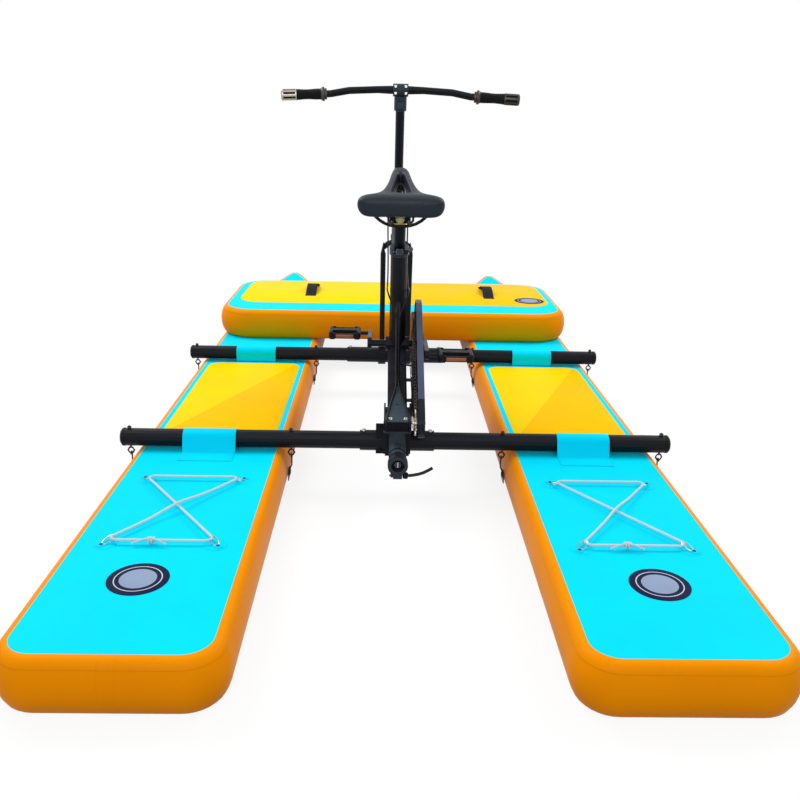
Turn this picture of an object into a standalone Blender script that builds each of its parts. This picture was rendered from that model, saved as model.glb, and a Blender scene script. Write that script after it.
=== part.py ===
"""Water bike: two long inflatable floats joined by two cross tubes, a cross float in front, and a
pedal frame that drives a steerable tail through a chain and two pairs of bevel gears.

Metres, +Z up. +Y is forward, +X is the rider's right. The origin is on the water plane under the
middle of the floats, so the floats' undersides lie at z = 0.
"""

import math

import bmesh
import bpy
from mathutils import Matrix, Vector

# Driving dimensions of the floats
FLOAT_LENGTH = 3.36
FLOAT_WIDTH = 0.434
FLOAT_THICKNESS = 0.12
FLOAT_SPACING = 1.054
SIDE_BULGE = 0.031
REAR_CORNER = 0.055
NOSE_LENGTH = 0.46
NOSE_RISE = 0.09
CROSS_FLOAT_LENGTH = 1.49
CROSS_FLOAT_DEPTH = 0.71
CROSS_FLOAT_REAR = 0.535
CROSS_FLOAT_CORNER = 0.12
VALVE_RADIUS = 0.026
VALVE_HEIGHT = 0.006

# Driving dimensions of the cross tubes
TUBE_RADIUS = 0.025
TUBE_WALL = 0.0025
TUBE_SPAN = 1.555
TUBE_LIFT = 0.0300
REAR_TUBE_Y = -0.68
TUBE_SPACING = 0.898
SLEEVE_WALL = 0.0038
REAR_SLEEVE_LENGTH = 0.21
FRONT_SLEEVE_LENGTH = 0.36
CAP_LENGTH = 0.012
CAP_PLUG = 0.0045
ROUND_STEPS = 16
STRAP_WIDTH = 0.148
STRAP_THICKNESS = 0.0016
STRAP_FLAP = 0.06

# Driving dimensions of the ties between tubes and floats
EYE_BOLT_RADIUS = 0.003
TIE_OUTER_GAP = 0.010
EYE_RADIUS = 0.009
HOOK_WIRE = 0.0022

# Driving dimensions of the frame
CRANK_AXIS_Y = -0.35
CRANK_AXIS_Z = 0.347
SEAT_ANGLE = math.radians(73.7)
SEAT_TUBE_LENGTH = 0.32
SEAT_TUBE_RADIUS = 0.025
SEAT_TUBE_WALL = 0.0025
SEAT_POST_RADIUS = 0.01695
SEAT_POST_LENGTH = 0.283
SADDLE_STEM = 0.418
SHELL_RADIUS = 0.023
SHELL_HALF_WIDTH = 0.036
MAIN_TUBE_RADIUS = 0.019
BEAM_WIDTH = 0.056
BEAM_HEIGHT = 0.040
STAY_RADIUS = 0.007
STEERING_ANGLE = math.radians(72.0)
HEAD_TUBE_START = 0.49
HEAD_TUBE_LENGTH = 0.12
HEAD_TUBE_WALL = 0.005
HANDLEBAR_STEM = 0.999
FORK_HALF_SPACING = 0.048
FORK_LEG_RADIUS = 0.0098
POST_RADIUS = 0.0143

# Driving dimensions of the handlebar and the saddle
BAR_WIDTH = 0.72
BAR_RADIUS = 0.0111
BAR_CLAMP_RADIUS = 0.0127
BAR_SWEEP = 0.03
BAR_DROP = 0.022
GRIP_LENGTH = 0.13
GRIP_WALL = 0.0052
SADDLE_LENGTH = 0.27
SADDLE_WIDTH = 0.235
SADDLE_TILT = math.radians(12.5)
RAIL_RADIUS = 0.0035
RAIL_HALF_SPACING = 0.022

# Driving dimensions of the drive
CHAIN_PITCH = 0.0127
CHAINRING_TEETH = 48
SPROCKET_TEETH = 16
CHAIN_X = 0.048
ROLLER_HALF_HEIGHT = 0.0032
ROLLER_HALF_LENGTH = 0.0023
TOOTH_ROOT = 0.0041
TOOTH_TIP = 0.0034
PLATE_THICKNESS = 0.0024
CRANK_LENGTH = 0.165
CRANK_TILT = math.radians(3.6)
CRANK_ARM_X = 0.086
CRANK_ARM_THICKNESS = 0.013
SPINDLE_RADIUS = 0.0115
PEDAL_X = 0.17
PEDAL_SIZE = (0.104, 0.088, 0.026)
PEDAL_PIN_RADIUS = 0.0062
GUARD_FRONT_RADIUS = 0.138
GUARD_REAR_RADIUS = 0.042
GUARD_INNER_X = 0.0555
GUARD_OUTER_X = 0.0735
GUARD_WALL = 0.0024
AXLE_Z = 0.228
AXLE_RADIUS = 0.004

# Driving dimensions of the steered tail
SWIVEL_Y = -0.745
TAIL_Z = 0.155
GEAR_RADIUS = 0.011
GEAR_FACE = 0.004
GEAR_TEETH = 12
BARREL_RADIUS = 0.0235
YOKE_HALF_WIDTH = 0.031
YOKE_SETBACK = 0.015
YOKE_THICKNESS = 0.0045
GEARBOX_HALF_WIDTH = 0.0325
GEARBOX_HALF_LENGTH = 0.0185
GEARBOX_DEPTH = 0.0185
BRACKET_HALF_WIDTH = 0.034
BRACKET_PLATE = 0.0045
GUSSET_THICKNESS = 0.003
GUSSET_REAR = -0.79
GUSSET_FRONT = -0.568
GUSSET_REAR_Z = 0.2465
GUSSET_FRONT_Z = 0.2722
TAIL_TUBE_RADIUS = 0.0225
TAIL_LENGTH = 0.135
SOCKET_RADIUS = 0.018
SOCKET_DEPTH = 0.034
TAIL_LEVER_LENGTH = 0.072

# Clearances
SEAT_GAP = 0.0003
RUN_GAP = 0.0004

# Sizes that follow from the driving dimensions
DECK_Z = FLOAT_THICKNESS
TUBE_Z = DECK_Z + TUBE_LIFT
FRONT_TUBE_Y = REAR_TUBE_Y + TUBE_SPACING
SLEEVE_RADIUS = TUBE_RADIUS + SEAT_GAP + SLEEVE_WALL
FLOAT_X = FLOAT_SPACING / 2
# The share of the wall's bulge that points straight ahead at the pointed tip
TIP_REACH = 0.892
FLOAT_REAR = -FLOAT_LENGTH / 2
CRANK_AXIS = Vector((0, CRANK_AXIS_Y, CRANK_AXIS_Z))
SEAT_DIRECTION = Vector((0, -math.cos(SEAT_ANGLE), math.sin(SEAT_ANGLE)))
STEERING_BASE = Vector((0, FRONT_TUBE_Y, TUBE_Z))
STEERING_DIRECTION = Vector((0, -math.cos(STEERING_ANGLE), math.sin(STEERING_ANGLE)))
AXLE_POINT = Vector((0, SWIVEL_Y, AXLE_Z))
TAIL_POINT = Vector((0, SWIVEL_Y, TAIL_Z))
CHAINRING_RADIUS = CHAINRING_TEETH * CHAIN_PITCH / math.tau
SPROCKET_RADIUS = SPROCKET_TEETH * CHAIN_PITCH / math.tau
TAIL_END_Y = SWIVEL_Y - TAIL_LENGTH
UP = Vector((0, 0, 1))
RIGHT = Vector((1, 0, 0))
FORWARD = Vector((0, 1, 0))

COLOURS = {
    "cyan": ((0.0, 0.78, 0.95), 0.45, 0.0),
    "orange": ((0.95, 0.45, 0.02), 0.45, 0.0),
    "black_paint": ((0.02, 0.02, 0.025), 0.35, 0.3),
    "grey_paint": ((0.12, 0.15, 0.20), 0.4, 0.3),
    "steel": ((0.55, 0.55, 0.55), 0.3, 1.0),
    "dark_steel": ((0.12, 0.11, 0.10), 0.4, 0.9),
    "rubber": ((0.015, 0.015, 0.015), 0.8, 0.0),
    "plastic": ((0.03, 0.03, 0.03), 0.5, 0.0),
    "webbing": ((0.02, 0.02, 0.025), 0.9, 0.0),
    "cord": ((0.9, 0.9, 0.92), 0.7, 0.0),
    "saddle": ((0.05, 0.06, 0.08), 0.45, 0.0),
}


def clear_scene():
    """Remove the objects that the file holds and make the two collections."""
    for old in list(bpy.data.objects):
        bpy.data.objects.remove(old, do_unlink=True)
    collections = []
    for name in ("water_bike", "cutters"):
        collection = bpy.data.collections.new(name)
        bpy.context.scene.collection.children.link(collection)
        collections.append(collection)
    return collections


PARTS, CUTTERS = clear_scene()


def material(name):
    """The material of one of the named colours, made at its first use."""
    found = bpy.data.materials.get(name)
    if found:
        return found
    colour, roughness, metallic = COLOURS[name]
    made = bpy.data.materials.new(name)
    made.use_nodes = True
    shader = made.node_tree.nodes["Principled BSDF"]
    shader.inputs["Base Color"].default_value = (*colour, 1)
    shader.inputs["Roughness"].default_value = roughness
    shader.inputs["Metallic"].default_value = metallic
    return made


def new_object(data):
    """A helper solid: it stays out of the part until make_part names it."""
    solid = bpy.data.objects.new("tool", data)
    CUTTERS.objects.link(solid)
    solid.hide_render = True
    solid.display_type = "WIRE"
    return solid


def from_bmesh(shape):
    mesh = bpy.data.meshes.new("tool")
    shape.to_mesh(mesh)
    shape.free()
    return new_object(mesh)


def from_curve(curve):
    """A closed mesh of a curve object whose caps are loose."""
    guide = new_object(curve)
    bpy.context.view_layer.update()
    evaluated = guide.evaluated_get(bpy.context.evaluated_depsgraph_get())
    mesh = bpy.data.meshes.new_from_object(evaluated)
    shape = bmesh.new()
    shape.from_mesh(mesh)
    bmesh.ops.remove_doubles(shape, verts=shape.verts, dist=0.00001)
    shape.to_mesh(mesh)
    shape.free()
    solid = new_object(mesh)
    solid.matrix_world = guide.matrix_world
    bpy.data.objects.remove(guide)
    return solid


def along(start, end):
    """A matrix that stands local +Z on the line from start to end."""
    direction = (Vector(end) - Vector(start)).normalized()
    turn = direction.to_track_quat("Z", "Y").to_matrix().to_4x4()
    return Matrix.Translation(start) @ turn


def rod(start, end, radius, sides=16, end_radius=None):
    """A cylinder, or a cone where the end has its own radius."""
    shape = bmesh.new()
    length = (Vector(end) - Vector(start)).length
    bmesh.ops.create_cone(
        shape,
        cap_ends=True,
        segments=sides,
        radius1=radius,
        radius2=radius if end_radius is None else end_radius,
        depth=length,
        matrix=along(start, end) @ Matrix.Translation((0, 0, length / 2)),
    )
    return from_bmesh(shape)


def block(low, high):
    """A box between two corners."""
    low = Vector(low)
    size = Vector(high) - low
    shape = bmesh.new()
    place = Matrix.Translation(low + size / 2) @ Matrix.Diagonal((*size, 1))
    bmesh.ops.create_cube(shape, size=1, matrix=place)
    return from_bmesh(shape)


def turned(profile, start, end, steps=24, closed=False):
    """A profile of (radius, height) points, top first, screwed about the line from start to end."""
    shape = bmesh.new()
    points = [shape.verts.new((radius, 0, height)) for radius, height in profile]
    for first, second in zip(points, points[1:]):
        shape.edges.new((first, second))
    if closed:
        shape.edges.new((points[-1], points[0]))
    solid = from_bmesh(shape)
    solid.matrix_world = along(start, end)
    screw = solid.modifiers.new("Turn", "SCREW")
    screw.steps = steps
    screw.render_steps = steps
    screw.use_merge_vertices = True
    screw.merge_threshold = 0.00001
    return solid


def tube(start, end, radius, bore, steps=ROUND_STEPS):
    """A plain pipe."""
    length = (Vector(end) - Vector(start)).length
    profile = [(bore, length), (radius, length), (radius, 0), (bore, 0)]
    return turned(profile, start, end, steps, closed=True)


def wire(points, radius, cyclic=False, resolution=2, radii=None):
    """A round wire through the given points."""
    curve = bpy.data.curves.new("wire", "CURVE")
    curve.dimensions = "3D"
    curve.bevel_depth = radius
    curve.bevel_resolution = resolution
    curve.use_fill_caps = True
    spline = curve.splines.new("POLY")
    spline.points.add(len(points) - 1)
    spline.use_cyclic_u = cyclic
    for index, point in enumerate(points):
        spline.points[index].co = (*point, 1)
        spline.points[index].radius = radii[index] if radii else 1
    return from_curve(curve)


def ring(centre, normal, radius, wire_radius, steps=12, resolution=0):
    """A closed round link."""
    place = along(centre, Vector(centre) + Vector(normal))
    points = []
    for step in range(steps):
        angle = math.tau * step / steps
        points.append(place @ Vector((radius * math.cos(angle), radius * math.sin(angle), 0)))
    return wire(points, wire_radius, cyclic=True, resolution=resolution)


def plate(outlines, thickness, place):
    """A flat outline, with its holes as further outlines, centred on the local XY plane."""
    curve = bpy.data.curves.new("plate", "CURVE")
    curve.dimensions = "2D"
    curve.fill_mode = "BOTH"
    curve.extrude = thickness / 2
    for outline in outlines:
        spline = curve.splines.new("POLY")
        spline.points.add(len(outline) - 1)
        spline.use_cyclic_u = True
        for index, (x, y) in enumerate(outline):
            spline.points[index].co = (x, y, 0, 1)
    solid = from_curve(curve)
    solid.matrix_world = place
    return solid


def side_plane(x):
    """The place of a plate that stands in the YZ plane at x: local X is forward, local Y is up."""
    turn = Matrix(((0, 0, 1, 0), (1, 0, 0, 0), (0, 1, 0, 0), (0, 0, 0, 1)))
    return Matrix.Translation((x, 0, 0)) @ turn


def circle(centre, radius, steps, start=0.0):
    """Points of a circle in a plate's plane."""
    points = []
    for step in range(steps):
        angle = start + math.tau * step / steps
        points.append((centre[0] + radius * math.cos(angle), centre[1] + radius * math.sin(angle)))
    return points


def two_circle_outline(first, first_radius, second, second_radius, steps=16):
    """The outline of a strap drawn tight round two circles."""
    first = Vector(first)
    second = Vector(second)
    span = second - first
    heading = math.atan2(span.y, span.x)
    lean = math.acos((first_radius - second_radius) / span.length)
    points = []
    for centre, radius, begin, turn in (
        (second, second_radius, heading - lean, 2 * lean),
        (first, first_radius, heading + lean, math.tau - 2 * lean),
    ):
        for step in range(steps + 1):
            angle = begin + turn * step / steps
            points.append((centre.x + radius * math.cos(angle), centre.y + radius * math.sin(angle)))
    return points


def boolean(solid, other, operation):
    modifier = solid.modifiers.new(operation.title(), "BOOLEAN")
    modifier.operation = operation
    modifier.solver = "EXACT"
    modifier.object = other


def make_part(name, colour, base, join=(), cut=(), smooth=True):
    """Name a helper solid as a piece of the bike, with what is welded to it and cut from it."""
    for other in join:
        boolean(base, other, "UNION")
    for other in cut:
        boolean(base, other, "DIFFERENCE")
    CUTTERS.objects.unlink(base)
    PARTS.objects.link(base)
    base.name = name
    base.data.name = name
    base.hide_render = False
    base.display_type = "TEXTURED"
    centre_origin(base)
    base.data.materials.clear()
    base.data.materials.append(material(colour))
    if smooth:
        base.data.shade_smooth()
        base.data.set_sharp_from_angle(angle=math.radians(40))
    return base


def centre_origin(solid):
    """Move a solid's origin to the middle of its own box."""
    if solid.matrix_world != Matrix.Identity(4):
        return
    corners = [Vector(corner) for corner in solid.bound_box]
    middle = sum(corners, Vector()) / len(corners)
    solid.data.transform(Matrix.Translation(-middle))
    solid.matrix_world = Matrix.Translation(middle)


def hang(name, point, axis, pieces, parent=None):
    """Hang pieces on an empty whose Z is their joint's axis."""
    joint = bpy.data.objects.new(name, None)
    joint.empty_display_size = 0.04
    PARTS.objects.link(joint)
    joint.matrix_world = along(point, Vector(point) + Vector(axis))
    bpy.context.view_layer.update()
    for piece in pieces:
        child = bpy.data.objects[piece]
        child.parent = joint
        child.matrix_parent_inverse = joint.matrix_world.inverted()
    if parent:
        joint.parent = bpy.data.objects[parent]
        joint.matrix_parent_inverse = joint.parent.matrix_world.inverted()
    return joint


def seat_point(distance):
    """A point on the seat tube's axis, measured from the crank axis."""
    return CRANK_AXIS + SEAT_DIRECTION * distance


def steering_point(distance):
    """A point on the steering axis, measured from the front tube's axis."""
    return STEERING_BASE + STEERING_DIRECTION * distance


def smooth_route(points, per_leg):
    """Points along a smooth curve through the route's own points."""
    points = [Vector(point) for point in points]
    padded = [2 * points[0] - points[1], *points, 2 * points[-1] - points[-2]]
    route = []
    for index in range(1, len(padded) - 2):
        before, here, there, after = padded[index - 1 : index + 3]
        for step in range(per_leg):
            t = step / per_leg
            route.append(
                0.5
                * (
                    2 * here
                    + (there - before) * t
                    + (2 * before - 5 * here + 4 * there - after) * t**2
                    + (3 * here - before - 3 * there + after) * t**3
                )
            )
    route.append(points[-1])
    return route


def loft_rings(rings, closed_ends=True):
    """A skin over rings of equal point counts, with its two end rings filled."""
    shape = bmesh.new()
    rows = [[shape.verts.new(point) for point in points] for points in rings]
    count = len(rows[0])
    for row, following in zip(rows, rows[1:]):
        for index in range(count):
            after = (index + 1) % count
            shape.faces.new((row[index], row[after], following[after], following[index]))
    if closed_ends:
        shape.faces.new(list(reversed(rows[0])))
        shape.faces.new(rows[-1])
    bmesh.ops.recalc_face_normals(shape, faces=shape.faces)
    return from_bmesh(shape)


# Floats


def float_stations():
    """Where along a long float its seam outline has a point, with the seam's half width there."""
    half = FLOAT_WIDTH / 2 - SIDE_BULGE
    rear = FLOAT_REAR + SIDE_BULGE
    front = -FLOAT_REAR - SIDE_BULGE * TIP_REACH
    stations = []
    for step in range(4):
        angle = math.pi / 2 * step / 3
        y = rear + REAR_CORNER * (1 - math.cos(angle))
        stations.append((y, half - REAR_CORNER * (1 - math.sin(angle))))
    for share in (0.35, 0.7):
        stations.append((rear + (front - NOSE_LENGTH - rear) * share, half))
    steps = 8
    for step in range(steps + 1):
        share = math.sin(math.pi / 2 * step / steps)
        width = half * (1 - 0.97 * share**1.8)
        stations.append((front - NOSE_LENGTH * (1 - share), width))
    return stations


def valve_y():
    """Where the long floats' valves lie: just ahead of the cross float, on deck that is still flat."""
    return CROSS_FLOAT_REAR + CROSS_FLOAT_DEPTH - SIDE_BULGE + VALVE_RADIUS + 0.012


def nose_lift(y):
    """How far the float curves up at y."""
    start = valve_y() + VALVE_RADIUS + SEAT_GAP
    share = max(0.0, (y - start) / (-FLOAT_REAR - start))
    return NOSE_RISE * share**2


def bulge_layers():
    """The side wall's outward reach and height, from the deck's edge down to the bottom's."""
    layers = []
    steps = 6
    for step in range(steps + 1):
        angle = math.pi * step / steps
        layers.append(
            (SIDE_BULGE * math.sin(angle), FLOAT_THICKNESS / 2 * (1 + math.cos(angle)))
        )
    return layers


def outline_with_normals(outline):
    """Each point of a closed plan outline with the direction that the wall faces there."""
    result = []
    count = len(outline)
    for index, point in enumerate(outline):
        before = Vector(outline[index - 1])
        after = Vector(outline[(index + 1) % count])
        tangent = (after - before).normalized()
        result.append((Vector(point), Vector((tangent.y, -tangent.x))))
    return result


def inflated(outline, base_z, lift):
    """A drop-stitch float: flat deck and bottom, bulging wall, following a lift along Y."""
    rings = []
    for reach, height in bulge_layers():
        points = []
        for point, normal in outline_with_normals(outline):
            place = point + normal * reach
            points.append((place.x, place.y, base_z + height + lift(place.y)))
        rings.append(points)
    shape = bmesh.new()
    rows = [[shape.verts.new(point) for point in points] for points in rings]
    count = len(outline)
    for row, following in zip(rows, rows[1:]):
        for index in range(count):
            after = (index + 1) % count
            shape.faces.new((row[index], row[after], following[after], following[index]))
    half = count // 2
    for row in (rows[0], rows[-1]):
        for index in range(half - 1):
            corners = (row[index], row[index + 1], row[count - 2 - index], row[count - 1 - index])
            shape.faces.new(corners)
    bmesh.ops.recalc_face_normals(shape, faces=shape.faces)
    return from_bmesh(shape)


def long_float(side):
    """One of the two long floats; side is -1 for the left and 1 for the right."""
    stations = float_stations()
    right = [(side * FLOAT_X + half, y) for y, half in stations]
    left = [(side * FLOAT_X - half, y) for y, half in reversed(stations)]
    name = "float_left" if side < 0 else "float_right"
    make_part(name, "cyan", inflated(right + left, 0, nose_lift))


def cross_float():
    """The float that lies across both decks."""
    half = CROSS_FLOAT_LENGTH / 2 - SIDE_BULGE
    rear = CROSS_FLOAT_REAR + SIDE_BULGE
    front = CROSS_FLOAT_REAR + CROSS_FLOAT_DEPTH - SIDE_BULGE
    stations = []
    steps = 4
    for step in range(steps + 1):
        angle = math.pi / 2 * step / steps
        y = rear + CROSS_FLOAT_CORNER * (1 - math.cos(angle))
        stations.append((y, half - CROSS_FLOAT_CORNER * (1 - math.sin(angle))))
    for y, width in reversed(list(stations)):
        stations.append((front + rear - y, width))
    right = [(width, y) for y, width in stations]
    left = [(-width, y) for y, width in reversed(stations)]
    base_z = DECK_Z + SEAT_GAP
    make_part("cross_float", "cyan", inflated(right + left, base_z, lambda y: 0.0))


def valve(name, foot, direction):
    """An inflation valve: a flange on the skin with a screw cap, ribbed round its rim."""
    direction = Vector(direction)
    foot = Vector(foot) + direction * SEAT_GAP
    profile = [
        (0, VALVE_HEIGHT),
        (VALVE_RADIUS * 0.52, VALVE_HEIGHT),
        (VALVE_RADIUS * 0.62, VALVE_HEIGHT * 0.8),
        (VALVE_RADIUS * 0.66, VALVE_HEIGHT * 0.4),
        (VALVE_RADIUS * 0.95, VALVE_HEIGHT * 0.35),
        (VALVE_RADIUS, 0),
        (0, 0),
    ]
    make_part(name, "plastic", turned(profile, foot, foot + direction, steps=10))


def valves():
    """Each long float has its valve just ahead of the cross float, which has its own on its front."""
    for side, name in ((-1, "valve_left"), (1, "valve_right")):
        valve(name, (side * FLOAT_X, valve_y(), DECK_Z), UP)
    front = CROSS_FLOAT_REAR + CROSS_FLOAT_DEPTH
    middle = DECK_Z + SEAT_GAP + FLOAT_THICKNESS / 2
    valve("cross_float_valve", (-0.45, front, middle), FORWARD)


# Cross tubes


def tie_places():
    """The X of each eye bolt, outer and inner side of each float."""
    outer = FLOAT_X + FLOAT_WIDTH / 2 + TIE_OUTER_GAP
    inner = FLOAT_X - FLOAT_WIDTH / 2 - TIE_OUTER_GAP
    return ((-outer, "left_outer"), (-inner, "left_inner"), (inner, "right_inner"), (outer, "right_outer"))


def cross_tube(row, y, sleeve_length):
    """A cross tube with its holes, its centre sleeve and its two end caps."""
    half = TUBE_SPAN / 2 - CAP_LENGTH - SEAT_GAP
    bore = TUBE_RADIUS - TUBE_WALL
    body = tube((-half, y, TUBE_Z), (half, y, TUBE_Z), TUBE_RADIUS, bore)
    holes = []
    for x, _ in tie_places():
        low = (x, y, TUBE_Z - 2 * TUBE_RADIUS)
        high = (x, y, TUBE_Z + 2 * TUBE_RADIUS)
        holes.append(rod(low, high, EYE_BOLT_RADIUS + 2 * RUN_GAP, sides=6))
    make_part(row + "_cross_tube", "black_paint", body, cut=holes)
    ends = (-sleeve_length / 2, y, TUBE_Z), (sleeve_length / 2, y, TUBE_Z)
    sleeve = tube(*ends, SLEEVE_RADIUS, TUBE_RADIUS + SEAT_GAP)
    make_part(row + "_sleeve", "black_paint", sleeve)
    plug = bore - SEAT_GAP
    profile = [
        (0, CAP_LENGTH),
        (TUBE_RADIUS * 0.8, CAP_LENGTH),
        (TUBE_RADIUS + 0.0008, CAP_LENGTH * 0.6),
        (TUBE_RADIUS + 0.0008, 0),
        (plug, 0),
        (plug, -CAP_PLUG),
        (0, -CAP_PLUG),
    ]
    for side, name in ((-1, "left"), (1, "right")):
        foot = Vector((side * (half + SEAT_GAP), y, TUBE_Z))
        cap = turned(profile, foot, foot + RIGHT * side, steps=ROUND_STEPS)
        make_part(f"{row}_tube_cap_{name}", "plastic", cap)


def tube_strap(row, y, side):
    """A fabric strap that runs from the deck over the tube and back to the deck."""
    half = STRAP_THICKNESS / 2
    low = DECK_Z + SEAT_GAP + half
    slope = math.radians(20)
    span = math.pi - 2 * slope
    steps = 8
    reach = (TUBE_RADIUS + SEAT_GAP + half) / math.cos(span / steps / 2)
    drop = TUBE_Z - low
    foot = (reach + drop * math.sin(slope)) / math.cos(slope)
    route = [(-foot - STRAP_FLAP, low), (-foot, low)]
    for step in range(steps + 1):
        angle = math.pi / 2 + span / 2 - span * step / steps
        route.append((reach * math.cos(angle), TUBE_Z + reach * math.sin(angle)))
    route.extend([(foot, low), (foot + STRAP_FLAP, low)])
    shape = bmesh.new()
    rows = []
    for x in (-STRAP_WIDTH / 2, STRAP_WIDTH / 2):
        rows.append([shape.verts.new((side * FLOAT_X + x, y + dy, z)) for dy, z in route])
    for index in range(len(route) - 1):
        shape.faces.new((rows[0][index], rows[1][index], rows[1][index + 1], rows[0][index + 1]))
    strap = from_bmesh(shape)
    skin = strap.modifiers.new("Thickness", "SOLIDIFY")
    skin.thickness = STRAP_THICKNESS
    skin.offset = 0
    skin.use_even_offset = True
    name = "left" if side < 0 else "right"
    make_part(f"{row}_strap_{name}", "cyan", strap)


def tie(name, x, y):
    """An eye bolt through the tube, with nut, hook, and the ring and tab on the float's side."""
    toward = -1 if abs(x) > FLOAT_X else 1
    toward *= 1 if x > 0 else -1
    top = TUBE_Z + TUBE_RADIUS
    eye_z = TUBE_Z - TUBE_RADIUS - EYE_RADIUS - 0.006
    shank = rod((x, y, eye_z + EYE_RADIUS * 0.8), (x, y, top + 0.0085), EYE_BOLT_RADIUS, sides=6)
    nut = rod((x, y, top + SEAT_GAP), (x, y, top + 0.0065), 0.0058, sides=6)
    eye = ring((x, y, eye_z), FORWARD, EYE_RADIUS, 0.0026, steps=6)
    face = x + toward * (TIE_OUTER_GAP - SEAT_GAP)
    tab_thickness = 0.0025
    ring_z = FLOAT_THICKNESS * 0.42
    link_x = face - toward * (tab_thickness + HOOK_WIRE * 0.7)
    hook_points = [
        (x, y - 0.0055, eye_z - 0.012),
        (x, y - 0.0035, eye_z - 0.0045),
        (x, y + 0.0035, eye_z - 0.0045),
        (x, y + 0.0060, eye_z - 0.016),
        (x, y + 0.0020, ring_z + 0.020),
        (link_x, y, ring_z + 0.0085),
    ]
    hook = wire(hook_points, HOOK_WIRE, resolution=0)
    link = ring((link_x, y, ring_z), RIGHT, 0.0095, HOOK_WIRE, steps=6)
    inner = face - toward * tab_thickness
    tab = block((min(face, inner), y - 0.018, ring_z - 0.022), (max(face, inner), y + 0.018, ring_z + 0.007))
    make_part(name, "dark_steel", shank, join=(nut, eye, hook, link, tab))


def cross_tubes():
    for row, y, sleeve_length in (
        ("rear", REAR_TUBE_Y, REAR_SLEEVE_LENGTH),
        ("front", FRONT_TUBE_Y, FRONT_SLEEVE_LENGTH),
    ):
        cross_tube(row, y, sleeve_length)
        for side in (-1, 1):
            tube_strap(row, y, side)
        for x, place in tie_places():
            tie(f"tie_{row}_{place}", x, y)


# What lies on the floats


def handle(name, x):
    """A webbing handle, sewn down at both ends and arched between."""
    width = 0.048
    thickness = 0.003
    low = DECK_Z + 2 * SEAT_GAP + FLOAT_THICKNESS + thickness / 2
    start = CROSS_FLOAT_REAR + CROSS_FLOAT_DEPTH * 0.50
    length = 0.27
    flat = 0.035
    arch = 0.026
    route = [(start - flat, low)]
    steps = 8
    for step in range(steps + 1):
        share = step / steps
        route.append((start + (length - 2 * flat) * share, low + arch * math.sin(math.pi * share)))
    route.append((start + length - flat, low))
    shape = bmesh.new()
    rows = []
    for offset in (-width / 2, width / 2):
        rows.append([shape.verts.new((x + offset, y, z)) for y, z in route])
    for index in range(len(route) - 1):
        shape.faces.new((rows[0][index], rows[1][index], rows[1][index + 1], rows[0][index + 1]))
    band = from_bmesh(shape)
    skin = band.modifiers.new("Thickness", "SOLIDIFY")
    skin.thickness = thickness
    skin.offset = 0
    make_part(name, "webbing", band)


def bungee(side):
    """One elastic cord in a crossed loop round four anchors on the rear deck."""
    centre_x = side * FLOAT_X
    half = 0.122
    front_y = REAR_TUBE_Y - 0.225
    rear_y = REAR_TUBE_Y - 0.57
    cord = 0.003
    low = DECK_Z + SEAT_GAP + 0.0105
    anchors = [
        (centre_x - half, front_y),
        (centre_x + half, front_y),
        (centre_x - half, rear_y),
        (centre_x + half, rear_y),
    ]
    route = []
    legs = ((0, 1, 0.0), (1, 2, 0.0), (2, 3, 0.0), (3, 0, 0.009))
    for first, second, rise in legs:
        begin = Vector((*anchors[first], low))
        end = Vector((*anchors[second], low))
        for share in (0.0, 0.1, 0.5, 0.9) if rise else (0.0, 0.1, 0.9):
            lift = rise * math.sin(math.pi * share)
            route.append(begin.lerp(end, share) + UP * lift)
    line = wire(route, cord, cyclic=True, resolution=0)
    fittings = []
    for x, y in anchors:
        foot = DECK_Z + SEAT_GAP
        fittings.append(rod((x, y, foot), (x, y, foot + 0.0016), 0.026, sides=8))
        fittings.append(rod((x, y, foot + 0.001), (x, y, foot + 0.013), 0.0058, sides=6, end_radius=0.0045))
    make_part("bungee_left" if side < 0 else "bungee_right", "cord", line, join=fittings)


# Frame


def beam_ends():
    """The lower beam's axis, from the crank shell to the bracket on the rear tube."""
    start = Vector((0, CRANK_AXIS_Y + 0.012, CRANK_AXIS_Z - 0.012))
    return start, Vector((0, REAR_TUBE_Y + SLEEVE_RADIUS + 0.0095, TUBE_Z + 0.071))


def beam_height(y):
    """The beam axis's height at y."""
    start, end = beam_ends()
    return start.z + (end.z - start.z) * (y - start.y) / (end.y - start.y)


def stay_ends():
    """The thin stay's axis, from the seat tube down to the beam's top."""
    y = GUSSET_FRONT + 0.010
    return seat_point(0.175), Vector((0, y, beam_height(y) + BEAM_HEIGHT * 0.25))


def gusset_height(y):
    """The height of the triangular plate's middle at y."""
    share = (y - GUSSET_REAR) / (GUSSET_FRONT - GUSSET_REAR)
    return GUSSET_REAR_Z + (GUSSET_FRONT_Z - GUSSET_REAR_Z) * share


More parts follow.
